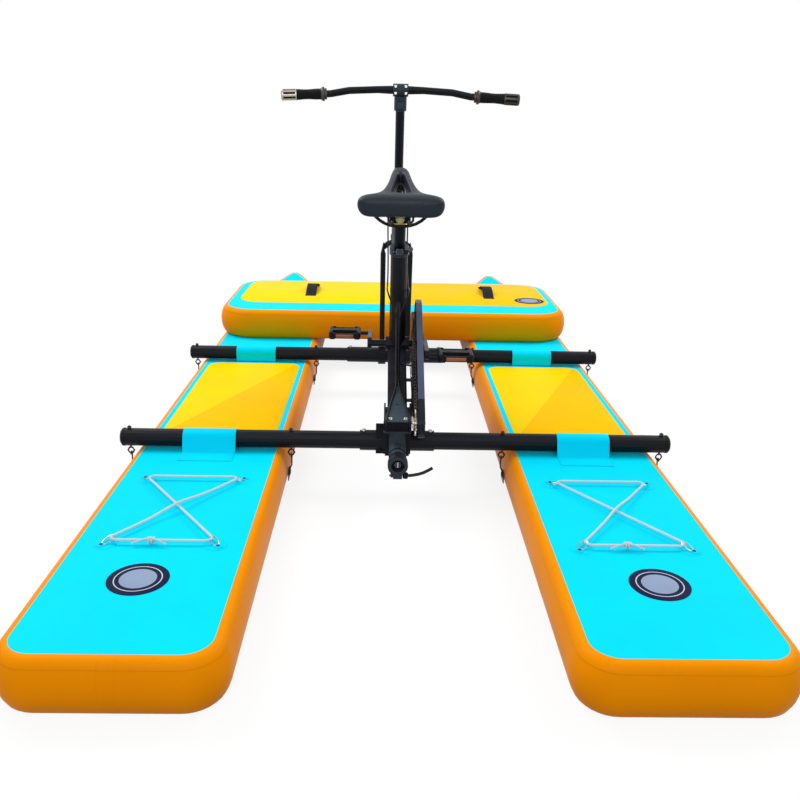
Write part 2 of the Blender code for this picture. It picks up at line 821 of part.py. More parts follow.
def welded_frame():
    """Seat tube, crank shell, main tube, head tube, lower beam and stay, welded into one piece."""
    seat_top = seat_point(SEAT_TUBE_LENGTH)
    seat_tube = rod(seat_point(0), seat_top, SEAT_TUBE_RADIUS, sides=ROUND_STEPS)
    shell = rod(CRANK_AXIS - RIGHT * SHELL_HALF_WIDTH, CRANK_AXIS + RIGHT * SHELL_HALF_WIDTH, SHELL_RADIUS, sides=ROUND_STEPS)
    head_start = steering_point(HEAD_TUBE_START)
    head_end = steering_point(HEAD_TUBE_START + HEAD_TUBE_LENGTH)
    head_radius = POST_RADIUS + SEAT_GAP + HEAD_TUBE_WALL
    flare = head_radius + 0.003
    head_profile = [
        (0, HEAD_TUBE_LENGTH),
        (flare, HEAD_TUBE_LENGTH),
        (flare, HEAD_TUBE_LENGTH - 0.012),
        (head_radius, HEAD_TUBE_LENGTH - 0.018),
        (head_radius, 0.018),
        (flare, 0.012),
        (flare, 0),
        (0, 0),
    ]
    head = turned(head_profile, head_start, head_end, steps=ROUND_STEPS)
    main_start = steering_point(HEAD_TUBE_START + HEAD_TUBE_LENGTH * 0.45)
    main_tube = rod(main_start, seat_point(0.09), MAIN_TUBE_RADIUS, sides=16)
    beam_start, beam_end = beam_ends()
    heading = along(beam_start, beam_end)
    length = (beam_end - beam_start).length
    beam_shape = bmesh.new()
    size = Matrix.Diagonal((BEAM_WIDTH, BEAM_HEIGHT, length, 1))
    centred = heading @ Matrix.Translation((0, 0, length / 2))
    bmesh.ops.create_cube(beam_shape, size=1, matrix=centred @ size)
    bmesh.ops.bevel(
        beam_shape,
        geom=[edge for edge in beam_shape.edges],
        offset=0.006,
        segments=2,
        affect="EDGES",
    )
    beam = from_bmesh(beam_shape)
    stay = rod(*stay_ends(), STAY_RADIUS, sides=12)
    cutters = [
        rod(seat_point(SHELL_RADIUS + 0.012), seat_point(SEAT_TUBE_LENGTH - 0.05), SEAT_TUBE_RADIUS - SEAT_TUBE_WALL, sides=ROUND_STEPS),
        rod(seat_point(SEAT_TUBE_LENGTH - 0.06), seat_point(SEAT_TUBE_LENGTH + 0.02), SEAT_POST_RADIUS + SEAT_GAP, sides=ROUND_STEPS),
        rod(CRANK_AXIS - RIGHT * 0.06, CRANK_AXIS + RIGHT * 0.06, SPINDLE_RADIUS + RUN_GAP, sides=ROUND_STEPS),
        rod(
            steering_point(HEAD_TUBE_START - 0.02),
            steering_point(HEAD_TUBE_START + HEAD_TUBE_LENGTH + 0.02),
            POST_RADIUS + SEAT_GAP,
            sides=ROUND_STEPS,
        ),
    ]
    make_part("main_frame", "black_paint", seat_tube, join=(shell, head, main_tube, beam, stay), cut=cutters)


def fork():
    """The two-legged fork: a crown under the head tube, two straight legs, a collar at each foot."""
    crown_top = HEAD_TUBE_START - SEAT_GAP
    crown = rod(steering_point(crown_top - 0.03), steering_point(crown_top), 0.0215, sides=20)
    pieces = []
    for side in (-1, 1):
        route = [
            steering_point(crown_top - 0.014) + RIGHT * side * 0.006,
            steering_point(crown_top - 0.020) + RIGHT * side * 0.030,
            steering_point(crown_top - 0.036) + RIGHT * side * (FORK_HALF_SPACING - 0.004),
            steering_point(crown_top - 0.060) + RIGHT * side * FORK_HALF_SPACING,
            steering_point(SLEEVE_RADIUS + 0.003) + RIGHT * side * FORK_HALF_SPACING,
        ]
        pieces.append(wire(smooth_route(route, 2), FORK_LEG_RADIUS, resolution=2))
        low = Vector((side * FORK_HALF_SPACING - 0.014, FRONT_TUBE_Y, TUBE_Z))
        collar = tube(low, low + RIGHT * 0.028, SLEEVE_RADIUS + 0.007, SLEEVE_RADIUS + SEAT_GAP)
        pieces.append(collar)
    make_part("fork", "black_paint", crown, join=pieces)


def rear_bracket():
    """The block round the rear sleeve that the beam ends on, with side plates for the axle."""
    half = BRACKET_HALF_WIDTH
    front = REAR_TUBE_Y + SLEEVE_RADIUS + 0.009
    rear = REAR_TUBE_Y - SLEEVE_RADIUS - 0.0015
    bottom = TUBE_Z - SLEEVE_RADIUS - 0.006
    beam_start, beam_end = beam_ends()
    run = (beam_end - beam_start).normalized()
    face = beam_end + run * SEAT_GAP
    rise = Vector((0, run.z, -run.y)) * BEAM_HEIGHT / 2
    head = face + rise
    throat = face - rise
    outline = [
        (rear, bottom),
        (front, bottom),
        (front, TUBE_Z + 0.030),
        (throat.y, throat.z),
        (head.y, head.z),
        (head.y - 0.030, head.z + 0.002),
        (rear, TUBE_Z + 0.052),
    ]
    body = plate([outline], 2 * half, side_plane(0))
    joins = []
    tail = SWIVEL_Y - 0.014
    yoke_clear = AXLE_Z - GEARBOX_DEPTH + 0.0012
    under = GUSSET_THICKNESS / 2 + 2 * SEAT_GAP
    cheek = [
        (tail, yoke_clear),
        (SWIVEL_Y + 0.0265, yoke_clear),
        (rear + 0.003, yoke_clear - 0.020),
        (rear + 0.004, bottom + 0.004),
        (front - 0.004, bottom + 0.004),
        (front - 0.004, TUBE_Z + 0.034),
        (head.y - 0.002, head.z - 0.002),
        (head.y - 0.020, gusset_height(head.y - 0.020) - under),
        (tail, gusset_height(tail) - under),
    ]
    for side in (-1, 1):
        x = side * (half + BRACKET_PLATE / 2 - 0.0005)
        joins.append(plate([cheek], BRACKET_PLATE, side_plane(x)))
    flange_top = TUBE_Z + SLEEVE_RADIUS + 0.030
    joins.append(block((-half - 0.026, rear + 0.0047, bottom + 0.0047), (-half - 0.002, rear + 0.009, flange_top)))
    for x, z in ((-0.045, flange_top - 0.012), (-0.045, bottom + 0.014)):
        joins.append(rod((x, rear + 0.006, z), (x, rear - 0.002, z), 0.0048, sides=6))
    cutters = [
        rod((-0.2, REAR_TUBE_Y, TUBE_Z), (0.2, REAR_TUBE_Y, TUBE_Z), SLEEVE_RADIUS + SEAT_GAP, sides=ROUND_STEPS),
        rod(AXLE_POINT - RIGHT * 0.06, AXLE_POINT + RIGHT * 0.06, AXLE_RADIUS + RUN_GAP, sides=16),
    ]
    make_part("rear_bracket", "grey_paint", body, join=joins, cut=cutters)


def gearbox():
    """The housing of the upper bevel pair, open at the top, and the triangular plate above it."""
    half_x = GEARBOX_HALF_WIDTH
    low = Vector((-half_x, SWIVEL_Y - GEARBOX_HALF_LENGTH, AXLE_Z - GEARBOX_DEPTH))
    high = Vector((half_x, SWIVEL_Y + GEARBOX_HALF_LENGTH, AXLE_Z + 0.0145))
    wall = 0.003
    body = block(low, high)
    cavity = block(low + Vector((wall, wall, wall)), high + Vector((-wall, -wall, 0.01)))
    cutters = [
        cavity,
        rod(AXLE_POINT - RIGHT * 0.06, AXLE_POINT + RIGHT * 0.06, AXLE_RADIUS + RUN_GAP, sides=16),
        rod(AXLE_POINT - UP * 0.04, AXLE_POINT, AXLE_RADIUS + RUN_GAP, sides=16),
    ]
    bosses = []
    for side in (-1, 1):
        end = RIGHT * side * (BRACKET_HALF_WIDTH - 0.0005 - SEAT_GAP)
        bosses.append(rod(AXLE_POINT + RIGHT * side * (half_x - 0.002), AXLE_POINT + end, 0.009, sides=16))
    make_part("gearbox_housing", "grey_paint", body, join=bosses, cut=cutters)
    lean = math.atan2(GUSSET_FRONT_Z - GUSSET_REAR_Z, GUSSET_FRONT - GUSSET_REAR)
    length = (GUSSET_FRONT - GUSSET_REAR) / math.cos(lean)
    half = BRACKET_HALF_WIDTH + 0.001
    outline = [(-half, 0), (half, 0), (half, 0.022), (0.006, length), (-0.006, length), (-half, 0.022)]
    hole = circle((0, 0.105), 0.0045, 12)
    place = Matrix.Translation((0, GUSSET_REAR, GUSSET_REAR_Z)) @ Matrix.Rotation(lean, 4, "X")
    make_part("gusset_plate", "grey_paint", plate([outline, hole], GUSSET_THICKNESS, place), smooth=False)


# Saddle and seat post


def seat_lever_pivot():
    """Where the seat clamp's lever turns on its bolt."""
    middle = seat_point(SEAT_TUBE_LENGTH - 0.001)
    return middle + Vector((0.0185, -SEAT_TUBE_RADIUS - SEAT_GAP - 0.0095, 0))


def seat():
    """Seat post with its head, the clamp at the top of the seat tube, and the clamp's lever."""
    top = SADDLE_STEM
    post = rod(seat_point(top - SEAT_POST_LENGTH), seat_point(top - 0.008), SEAT_POST_RADIUS, sides=ROUND_STEPS)
    place = seat_point(top)
    head = block(place - Vector((0.030, 0.016, 0.014)), place + Vector((0.030, 0.016, 0.011)))
    grooves = []
    for side in (-1, 1):
        centre = place + RIGHT * side * RAIL_HALF_SPACING
        ends = rail_direction() * 0.05
        grooves.append(rod(centre - ends, centre + ends, RAIL_RADIUS + SEAT_GAP, sides=12))
    make_part("seat_post", "black_paint", post, join=(head,), cut=grooves)
    clamp_low = seat_point(SEAT_TUBE_LENGTH - 0.012)
    clamp_high = seat_point(SEAT_TUBE_LENGTH + 0.010)
    outer = SEAT_TUBE_RADIUS + SEAT_GAP + 0.004
    length = (clamp_high - clamp_low).length
    step_height = SEAT_TUBE_LENGTH + SEAT_GAP - (SEAT_TUBE_LENGTH - 0.012)
    profile = [
        (SEAT_POST_RADIUS + SEAT_GAP, length),
        (outer - 0.002, length),
        (outer, length - 0.003),
        (outer, 0),
        (SEAT_TUBE_RADIUS + SEAT_GAP, 0),
        (SEAT_TUBE_RADIUS + SEAT_GAP, step_height),
        (SEAT_POST_RADIUS + SEAT_GAP, step_height),
    ]
    band = turned(profile, clamp_low, clamp_high, steps=ROUND_STEPS, closed=True)
    middle = clamp_low.lerp(clamp_high, 0.5)
    ears = block(middle + Vector((-0.010, -outer - 0.011, -0.008)), middle + Vector((0.010, -outer + 0.001, 0.008)))
    bolt_y = seat_lever_pivot().y - middle.y
    bolt_end = seat_lever_pivot().x - 0.0068 - SEAT_GAP
    bolt = rod(middle + Vector((-0.022, bolt_y, 0)), middle + Vector((bolt_end, bolt_y, 0)), 0.0028, sides=10)
    nut = rod(middle + Vector((-0.018, bolt_y, 0)), middle + Vector((-0.009, bolt_y, 0)), 0.0065, sides=10)
    make_part("seat_clamp", "black_paint", band, join=(ears, nut, bolt))
    pivot = seat_lever_pivot()
    arm = [
        pivot + Vector((0.003, 0.0, 0)),
        pivot + Vector((0.014, 0.012, 0.001)),
        pivot + Vector((0.0185, 0.030, 0.003)),
        pivot + Vector((0.0165, 0.046, 0.004)),
    ]
    lever = wire(smooth_route(arm, 2), 0.004, resolution=1)
    cam = rod(pivot - UP * 0.006, pivot + UP * 0.006, 0.0068, sides=14)
    make_part("seat_clamp_lever", "black_paint", cam, join=(lever,))


def rail_direction():
    """The way that the saddle's rails run, nose up by the saddle's tilt."""
    return Vector((0, math.cos(SADDLE_TILT), math.sin(SADDLE_TILT)))


def saddle_place(share, x, height):
    """A point in the saddle's own frame: share of its length from the rear, side, height."""
    run = rail_direction()
    rise = Vector((0, -run.z, run.y))
    rear = seat_point(SADDLE_STEM) - run * SADDLE_LENGTH * 0.47
    return rear + run * SADDLE_LENGTH * share + RIGHT * x + rise * height


def saddle():
    """The padded saddle with its cut-out, and the wire rails and rear bow under it."""
    half = SADDLE_WIDTH / 2
    stations = (
        (0.00, 0.62, 0.050, 0.084),
        (0.06, 0.98, 0.043, 0.097),
        (0.22, 1.03, 0.043, 0.100),
        (0.40, 0.62, 0.050, 0.098),
        (0.58, 0.31, 0.056, 0.099),
        (0.80, 0.23, 0.060, 0.104),
        (0.96, 0.20, 0.066, 0.108),
        (1.00, 0.12, 0.074, 0.102),
    )
    rings = []
    for share, width, low, high in stations:
        wide = half * width
        middle = (low + high) / 2
        section = (
            (-wide * 0.55, low),
            (-wide, low + 0.004),
            (-wide * 1.02, middle + 0.006),
            (-wide * 0.72, high),
            (0.0, high - 0.002),
            (wide * 0.72, high),
            (wide * 1.02, middle + 0.006),
            (wide, low + 0.004),
            (wide * 0.55, low),
            (0.0, low + 0.002),
        )
        rings.append([saddle_place(share, x, height) for x, height in section])
    pad = loft_rings(rings)
    round_off = pad.modifiers.new("Round", "SUBSURF")
    round_off.levels = 1
    round_off.render_levels = 1
    slot_low = plate(
        [two_circle_outline((0, SADDLE_LENGTH * 0.36), 0.013, (0, SADDLE_LENGTH * 0.66), 0.008, steps=8)],
        0.12,
        Matrix.Translation(saddle_place(0, 0, 0.08)) @ Matrix.Rotation(SADDLE_TILT, 4, "X"),
    )
    rail_ends = [(0.90, 0.010, 0.050, 0.074), (0.12, 0.034, 0.030, 0.056), (0.28, 0.072, 0.026, 0.058)]
    sockets = []
    for share, x, low, high in rail_ends:
        for side in (-1, 1):
            radius = RAIL_RADIUS if share != 0.28 else 0.0048
            foot = saddle_place(share, side * x, low)
            sockets.append(rod(foot, saddle_place(share, side * x, high), radius + 3 * SEAT_GAP, sides=8))
    make_part("saddle", "saddle", pad, cut=(slot_low, *sockets))
    rails = []
    for side in (-1, 1):
        route = [
            saddle_place(0.90, side * 0.010, 0.074 - SEAT_GAP),
            saddle_place(0.90, side * 0.010, 0.044),
            saddle_place(0.80, side * 0.016, 0.016),
            saddle_place(0.70, side * RAIL_HALF_SPACING, 0.0),
            saddle_place(0.28, side * RAIL_HALF_SPACING, 0.0),
            saddle_place(0.19, side * 0.026, 0.008),
            saddle_place(0.12, side * 0.034, 0.026),
            saddle_place(0.12, side * 0.034, 0.056 - SEAT_GAP),
        ]
        rails.append(wire(route, RAIL_RADIUS, resolution=1))
    bow_route = [saddle_place(0.28, -0.072, 0.058 - SEAT_GAP)]
    for step in range(11):
        share = step / 5 - 1
        rise = -0.0068 + 0.0290 * abs(share) ** 2.6
        bow_route.append(saddle_place(0.28, share * 0.072, rise))
    bow_route.append(saddle_place(0.28, 0.072, 0.058 - SEAT_GAP))
    bow = wire(bow_route, 0.0048, resolution=1)
    front_link = rod(saddle_place(0.895, -0.013, 0.048), saddle_place(0.895, 0.013, 0.048), 0.0046, sides=6)
    make_part("saddle_rails", "black_paint", rails[0], join=(bow, front_link, rails[1]))


# Steering


def steering():
    """Handlebar post with its cable drum, stem clamp, handlebar and grips."""
    drum = HEAD_TUBE_START + HEAD_TUBE_LENGTH
    post_low = steering_point(HEAD_TUBE_START + 0.004)
    post_high = steering_point(HANDLEBAR_STEM - 0.026)
    post = rod(post_low, post_high, POST_RADIUS, sides=ROUND_STEPS)
    disc = rod(steering_point(drum + SEAT_GAP), steering_point(drum + 0.010), 0.0285, sides=ROUND_STEPS)
    collar = rod(steering_point(drum + 0.009), steering_point(drum + 0.024), 0.019, sides=ROUND_STEPS)
    make_part("handlebar_post", "black_paint", post, join=(disc, collar))
    clamp_low = steering_point(HANDLEBAR_STEM - 0.062)
    clamp_high = steering_point(HANDLEBAR_STEM - 0.016)
    body = rod(clamp_low, clamp_high, POST_RADIUS + 0.0055, sides=16)
    centre = steering_point(HANDLEBAR_STEM)
    barrel = rod(centre - RIGHT * 0.024, centre + RIGHT * 0.024, BAR_CLAMP_RADIUS + 0.0065, sides=16)
    bolts = []
    for side in (-1, 1):
        for height in (-0.010, 0.010):
            spot = centre + RIGHT * side * 0.016 + UP * height
            bolts.append(rod(spot - FORWARD * 0.0235, spot - FORWARD * 0.010, 0.0038, sides=6))
    pinch = clamp_low.lerp(clamp_high, 0.3)
    bolts.append(block(pinch + Vector((-0.009, -0.030, -0.009)), pinch + Vector((0.009, -0.012, 0.009))))
    cutters = [
        rod(centre - RIGHT * 0.04, centre + RIGHT * 0.04, BAR_CLAMP_RADIUS + SEAT_GAP, sides=ROUND_STEPS),
        rod(clamp_low - STEERING_DIRECTION * 0.02, post_high + STEERING_DIRECTION * SEAT_GAP, POST_RADIUS + SEAT_GAP, sides=ROUND_STEPS),
    ]
    make_part("stem_clamp", "grey_paint", body, join=(barrel, *bolts), cut=cutters)
    half = BAR_WIDTH / 2
    route = []
    radii = []
    for x, sweep, drop, radius in (
        (-1.0, 1.0, 1.0, BAR_RADIUS),
        (-0.61, 0.66, 0.72, BAR_RADIUS),
        (-0.45, 0.35, 0.22, BAR_RADIUS),
        (-0.20, 0.04, 0.0, BAR_RADIUS),
        (-0.09, 0.0, 0.0, BAR_CLAMP_RADIUS),
        (0.09, 0.0, 0.0, BAR_CLAMP_RADIUS),
        (0.20, 0.04, 0.0, BAR_RADIUS),
        (0.45, 0.35, 0.22, BAR_RADIUS),
        (0.61, 0.66, 0.72, BAR_RADIUS),
        (1.0, 1.0, 1.0, BAR_RADIUS),
    ):
        route.append(centre + Vector((x * half, -BAR_SWEEP * sweep, -BAR_DROP * drop)))
        radii.append(radius / BAR_CLAMP_RADIUS)
    make_part("handlebar", "black_paint", wire(route, BAR_CLAMP_RADIUS, resolution=3, radii=radii))
    grip_outer = BAR_RADIUS + SEAT_GAP + GRIP_WALL
    bore = BAR_RADIUS + SEAT_GAP
    profile = [
        (0, 0.012),
        (grip_outer * 0.75, 0.012),
        (grip_outer * 1.05, 0.008),
        (grip_outer * 1.05, -0.030),
        (grip_outer, -0.034),
        (grip_outer * 0.94, -GRIP_LENGTH / 2),
        (grip_outer, -GRIP_LENGTH + 0.022),
        (grip_outer * 1.28, -GRIP_LENGTH + 0.014),
        (grip_outer * 1.28, -GRIP_LENGTH + 0.008),
        (grip_outer, -GRIP_LENGTH),
        (bore, -GRIP_LENGTH),
        (bore, SEAT_GAP),
        (0, SEAT_GAP),
    ]
    for name, end, before in (("grip_left", route[0], route[1]), ("grip_right", route[-1], route[-2])):
        outward = (end - before).normalized()
        make_part(name, "rubber", turned(profile, end, end + outward, steps=ROUND_STEPS))


# Cranks, pedals, chain


def pedal_centre(side):
    """Where a pedal's pin crosses the pedal's middle; the left crank points forward at rest."""
    reach = Vector((0, math.cos(CRANK_TILT), -math.sin(CRANK_TILT))) * CRANK_LENGTH
    return CRANK_AXIS - reach * side + RIGHT * side * PEDAL_X


def crank_arm(side, bore):
    """A crank arm with its pedal pin."""
    pin = pedal_centre(side)
    outline = two_circle_outline((CRANK_AXIS_Y, CRANK_AXIS_Z), 0.0185, (pin.y, pin.z), 0.0135, steps=10)
    outlines = [outline]
    if bore:
        outlines.append(circle((CRANK_AXIS_Y, CRANK_AXIS_Z), bore, 20))
    arm = plate(outlines, CRANK_ARM_THICKNESS, side_plane(side * CRANK_ARM_X))
    root = RIGHT * (side * CRANK_ARM_X - pin.x)
    tip = RIGHT * side * PEDAL_SIZE[0] * 0.42
    return arm, rod(pin + root, pin + tip, PEDAL_PIN_RADIUS, sides=14)


def pedal(name, side):
    """A platform pedal: a frame round a centre barrel that turns on the pin."""
    centre = pedal_centre(side)
    half = Vector(PEDAL_SIZE) / 2
    body = block(centre - half, centre + half)
    soften = body.modifiers.new("Soften", "BEVEL")
    soften.width = 0.005
    soften.segments = 1
    openings = []
    for direction in (-1, 1):
        low = centre + Vector((-half.x + 0.012, direction * 0.027 - 0.0125, -0.05))
        high = centre + Vector((half.x - 0.012, direction * 0.027 + 0.0125, 0.05))
        openings.append(block(low, high))
        for level in (-1, 1):
            groove_low = centre + Vector((-half.x + 0.02, direction * 0.044 - 0.005, level * 0.0125 - 0.004))
            groove_high = centre + Vector((half.x - 0.02, direction * 0.044 + 0.005, level * 0.0125 + 0.004))
            openings.append(block(groove_low, groove_high))
    inner = centre - RIGHT * side * 0.07
    bore = rod(inner, centre + RIGHT * side * (PEDAL_SIZE[0] * 0.42 + 0.001), PEDAL_PIN_RADIUS + RUN_GAP, sides=14)
    make_part(name, "plastic", body, cut=(*openings, bore))


def cranks():
    arm, pin = crank_arm(1, None)
    outer = CRANK_ARM_X + CRANK_ARM_THICKNESS / 2
    spindle = rod(CRANK_AXIS - RIGHT * outer, CRANK_AXIS + RIGHT * CRANK_ARM_X, SPINDLE_RADIUS, sides=ROUND_STEPS)
    cover_x = GUARD_OUTER_X + 0.002
    cover = rod(CRANK_AXIS + RIGHT * cover_x, CRANK_AXIS + RIGHT * (CRANK_ARM_X - 0.004), 0.036, sides=ROUND_STEPS)
    spider_outline = []
    arms = 5
    for index in range(arms):
        angle = math.tau * index / arms + 0.3
        for turn, reach in ((-0.12, 0.078), (0.12, 0.078), (0.42, 0.026), (math.tau / arms - 0.42, 0.026)):
            spider_outline.append(
                (CRANK_AXIS_Y + reach * math.cos(angle + turn), CRANK_AXIS_Z + reach * math.sin(angle + turn))
            )
    spider_x = CHAIN_X + PLATE_THICKNESS / 2 + SEAT_GAP + 0.0015
    spider = plate([spider_outline], 0.003, side_plane(spider_x))
    make_part("crank_right", "black_paint", spindle, join=(arm, pin, cover, spider))
    arm, pin = crank_arm(-1, SPINDLE_RADIUS + SEAT_GAP)
    make_part("crank_left", "black_paint", arm, join=(pin,))
    pedal("pedal_left", -1)
    pedal("pedal_right", 1)


def toothed_outline(centre, teeth, first_seat):
    """A sprocket's outline: between two roller seats stands one tooth."""
    radius = teeth * CHAIN_PITCH / math.tau
    step = math.tau / teeth
    points = []
    for index in range(teeth):
        seat = first_seat + step * index
        for share, reach in ((-0.20, -TOOTH_ROOT), (0.20, -TOOTH_ROOT), (0.50, TOOTH_TIP)):
            angle = seat + step * share
            points.append((centre[0] + (radius + reach) * math.cos(angle), centre[1] + (radius + reach) * math.sin(angle)))
    return points


def chain_geometry():
    """The directions from each wheel's centre to where the upper and the lower run touch it."""
    front = Vector((CRANK_AXIS_Y, CRANK_AXIS_Z))
    rear = Vector((SWIVEL_Y, AXLE_Z))
    span = rear - front
    heading = math.atan2(span.y, span.x)
    lean = math.acos((CHAINRING_RADIUS - SPROCKET_RADIUS) / span.length)
    return front, rear, heading - lean, heading + lean


def chain_seats():
    """The centre of every roller, in order along the closed chain."""
    front, rear, upper, lower = chain_geometry()

    def seats_on(centre, radius, teeth, begin, sweep):
        step = math.tau / teeth
        count = int(abs(sweep) / step + 0.001) + 1
        turn = math.copysign(step, sweep)
        return [
            centre + Vector((math.cos(begin + turn * k), math.sin(begin + turn * k))) * radius for k in range(count)
        ]

    def angle_between(begin, end):
        return (begin - end) % math.tau

    front_sweep = -angle_between(upper, lower)
    rear_sweep = angle_between(upper, lower) - math.tau
    ring_seats = seats_on(front, CHAINRING_RADIUS, CHAINRING_TEETH, upper, front_sweep)
    wheel_seats = seats_on(rear, SPROCKET_RADIUS, SPROCKET_TEETH, upper, -rear_sweep)
    wheel_seats.reverse()

    def run(begin, end, extra=0):
        count = round((end - begin).length / CHAIN_PITCH) + extra
        return [begin.lerp(end, k / count) for k in range(1, count)]

    back = run(ring_seats[-1], wheel_seats[0])
    top = run(wheel_seats[-1], ring_seats[0])
    total = len(ring_seats) + len(wheel_seats) + len(back) + len(top)
    if total % 2:
        back = run(ring_seats[-1], wheel_seats[0], 1)
    return ring_seats + back + wheel_seats + top


def clear_of_teeth(before, seat):
    """Whether a roller that sits here stays clear of both turning wheels."""
    front, rear, _, _ = chain_geometry()
    for centre, radius in ((front, CHAINRING_RADIUS), (rear, SPROCKET_RADIUS)):
        inward = (centre - seat).normalized() * ROLLER_HALF_HEIGHT
        along_chain = (seat - before).normalized() * ROLLER_HALF_LENGTH
        for turn in (-1, 1):
            corner = seat + inward + along_chain * turn
            if (corner - centre).length < radius + TOOTH_TIP + 2 * RUN_GAP:
                return False
    return True


def chain():
    """The roller chain: two strips of link plates, inner and outer in turn, joined by its rollers.

    The solid stands still while the wheels turn, so it has no roller where a tooth would pass one.
    """
    seats = chain_seats()
    count = len(seats)
    half_height = ROLLER_HALF_HEIGHT
    half_roller = ROLLER_HALF_LENGTH
    with_roller = [clear_of_teeth(seats[index - 1], seats[index]) for index in range(count)]
    shape = bmesh.new()
    strips = {-1: [], 1: []}
    for index, seat in enumerate(seats):
        heading = (seats[(index + 1) % count] - seats[index - 1]).normalized()
        normal = Vector((-heading.y, heading.x))
        for position, link in ((-1, index - 1), (1, index)):
            inner = 0.0019 if link % 2 else 0.0029
            along_link = seat + heading * half_roller * position
            for side in (-1, 1):
                corners = []
                for reach, level in ((inner, -1), (inner, 1), (inner + 0.0013, 1), (inner + 0.0013, -1)):
                    spot = along_link + normal * half_height * level
                    corners.append(shape.verts.new((CHAIN_X + side * reach, spot.x, spot.y)))
                strips[side].append(corners)
    stations = 2 * count
    for side in (-1, 1):
        rows = strips[side]
        for index in range(stations):
            row = rows[index]
            following = rows[(index + 1) % stations]
            for corner in range(4):
                if corner == 0 and index % 2 == 0 and with_roller[index // 2]:
                    continue
                after = (corner + 1) % 4
                shape.faces.new((row[corner], row[after], following[after], following[corner]))
    for index in range(0, stations, 2):
        if not with_roller[index // 2]:
            continue
        left = strips[-1]
        right = strips[1]
        near = (left[index][0], left[index][1], left[index + 1][1], left[index + 1][0])
        far = (right[index][0], right[index][1], right[index + 1][1], right[index + 1][0])
        for corner in range(4):
            after = (corner + 1) % 4
            shape.faces.new((near[corner], near[after], far[after], far[corner]))
    bmesh.ops.recalc_face_normals(shape, faces=shape.faces)
    make_part("chain", "dark_steel", from_bmesh(shape), smooth=False)


def chain_wheels():
    """The chainring on the crank spider and the sprocket with its axle and upper bevel gear."""
    front, rear, upper, _ = chain_geometry()
    ring_outline = toothed_outline(front, CHAINRING_TEETH, upper)
    window = circle(front, 0.066, 24)
    wheel = plate([ring_outline, window], PLATE_THICKNESS, side_plane(CHAIN_X))
    make_part("chainring", "dark_steel", wheel, smooth=False)
    sprocket = plate([toothed_outline(rear, SPROCKET_TEETH, upper)], PLATE_THICKNESS, side_plane(CHAIN_X))
    axle = rod(AXLE_POINT - RIGHT * 0.040, AXLE_POINT + RIGHT * 0.0535, AXLE_RADIUS, sides=16)
    hub = rod(AXLE_POINT + RIGHT * 0.0405, AXLE_POINT + RIGHT * 0.0522, 0.0167, sides=18)
    gear = bevel_gear(AXLE_POINT, RIGHT, UP, 0.0)
    make_part("rear_sprocket", "steel", axle, join=(sprocket, hub, gear))


def chain_guard():
    """The one-sided chain case: an outer wall with a rim turned in over the chain."""
    front, rear, _, _ = chain_geometry()
    outer = two_circle_outline(front, GUARD_FRONT_RADIUS, rear, GUARD_REAR_RADIUS, steps=10)
    inner = two_circle_outline(front, GUARD_FRONT_RADIUS - GUARD_WALL, rear, GUARD_REAR_RADIUS - GUARD_WALL, steps=10)
    middle = (GUARD_INNER_X + GUARD_OUTER_X) / 2
    depth = GUARD_OUTER_X - GUARD_INNER_X
    shell = plate([outer], depth, side_plane(middle))
    hollow = plate([inner], depth, side_plane(middle - GUARD_WALL))
    window = rod(CRANK_AXIS + RIGHT * 0.03, CRANK_AXIS + RIGHT * 0.1, 0.030, sides=ROUND_STEPS)
    posts = []
    for y in (-0.50, -0.59):
        foot = Vector((BEAM_WIDTH / 2 + SEAT_GAP, y, beam_height(y)))
        posts.append(rod(foot, Vector((GUARD_OUTER_X - GUARD_WALL / 2, y, foot.z)), 0.0055, sides=10))
    guard = make_part("chain_guard", "grey_paint", shell, cut=(hollow, window))
    for post in posts:
        boolean(guard, post, "UNION")


def chain_guide():
    """The black guide that the upper run slides through, on its bracket from the beam."""
    front, rear, upper, _ = chain_geometry()
    touch = Vector((math.cos(upper), math.sin(upper)))
    start = front + touch * CHAINRING_RADIUS
    end = rear + touch * SPROCKET_RADIUS
    heading = (end - start).normalized()
    low = start.lerp(end, 0.45)
    high = start.lerp(end, 0.757)
    slot_half = 0.0054
    wall = 0.0023
    deep = -0.0052

    def across_run(levels):
        return [tuple(spot + touch * level) for spot, level in levels]

    outline = across_run(((low, -0.012), (high, -0.012), (high, 0.010), (low, 0.010)))
    body = plate([outline], 2 * (slot_half + wall), side_plane(CHAIN_X))
    before = low - heading * 0.05
    after = high + heading * 0.05
    slot = across_run(((before, deep), (after, deep), (after, 0.05), (before, 0.05)))
    groove = plate([slot], 2 * slot_half, side_plane(CHAIN_X))
    cheek_x = BRACKET_HALF_WIDTH - 0.0005 + BRACKET_PLATE
    arm_x = cheek_x + SEAT_GAP + 0.0019
    root = low.lerp(high, 0.86)
    foot = Vector((-0.668, 0.226))
    strut = two_circle_outline(tuple(root - touch * 0.006), 0.0095, tuple(foot), 0.0078, steps=6)
    arm = plate([strut], 0.0038, side_plane(arm_x))
    stay_start, stay_end = stay_ends()
    hold = stay_start.lerp(stay_end, 0.74)
    reach = low.lerp(high, 0.16) - touch * 0.007
    link = rod(
        hold + RIGHT * (STAY_RADIUS + 0.0028), (CHAIN_X - slot_half - 0.0012, reach.x, reach.y), 0.0026, sides=8
    )
    make_part("chain_guide", "plastic", body, join=(arm, link), cut=(groove,))


# Gears and the steered tail


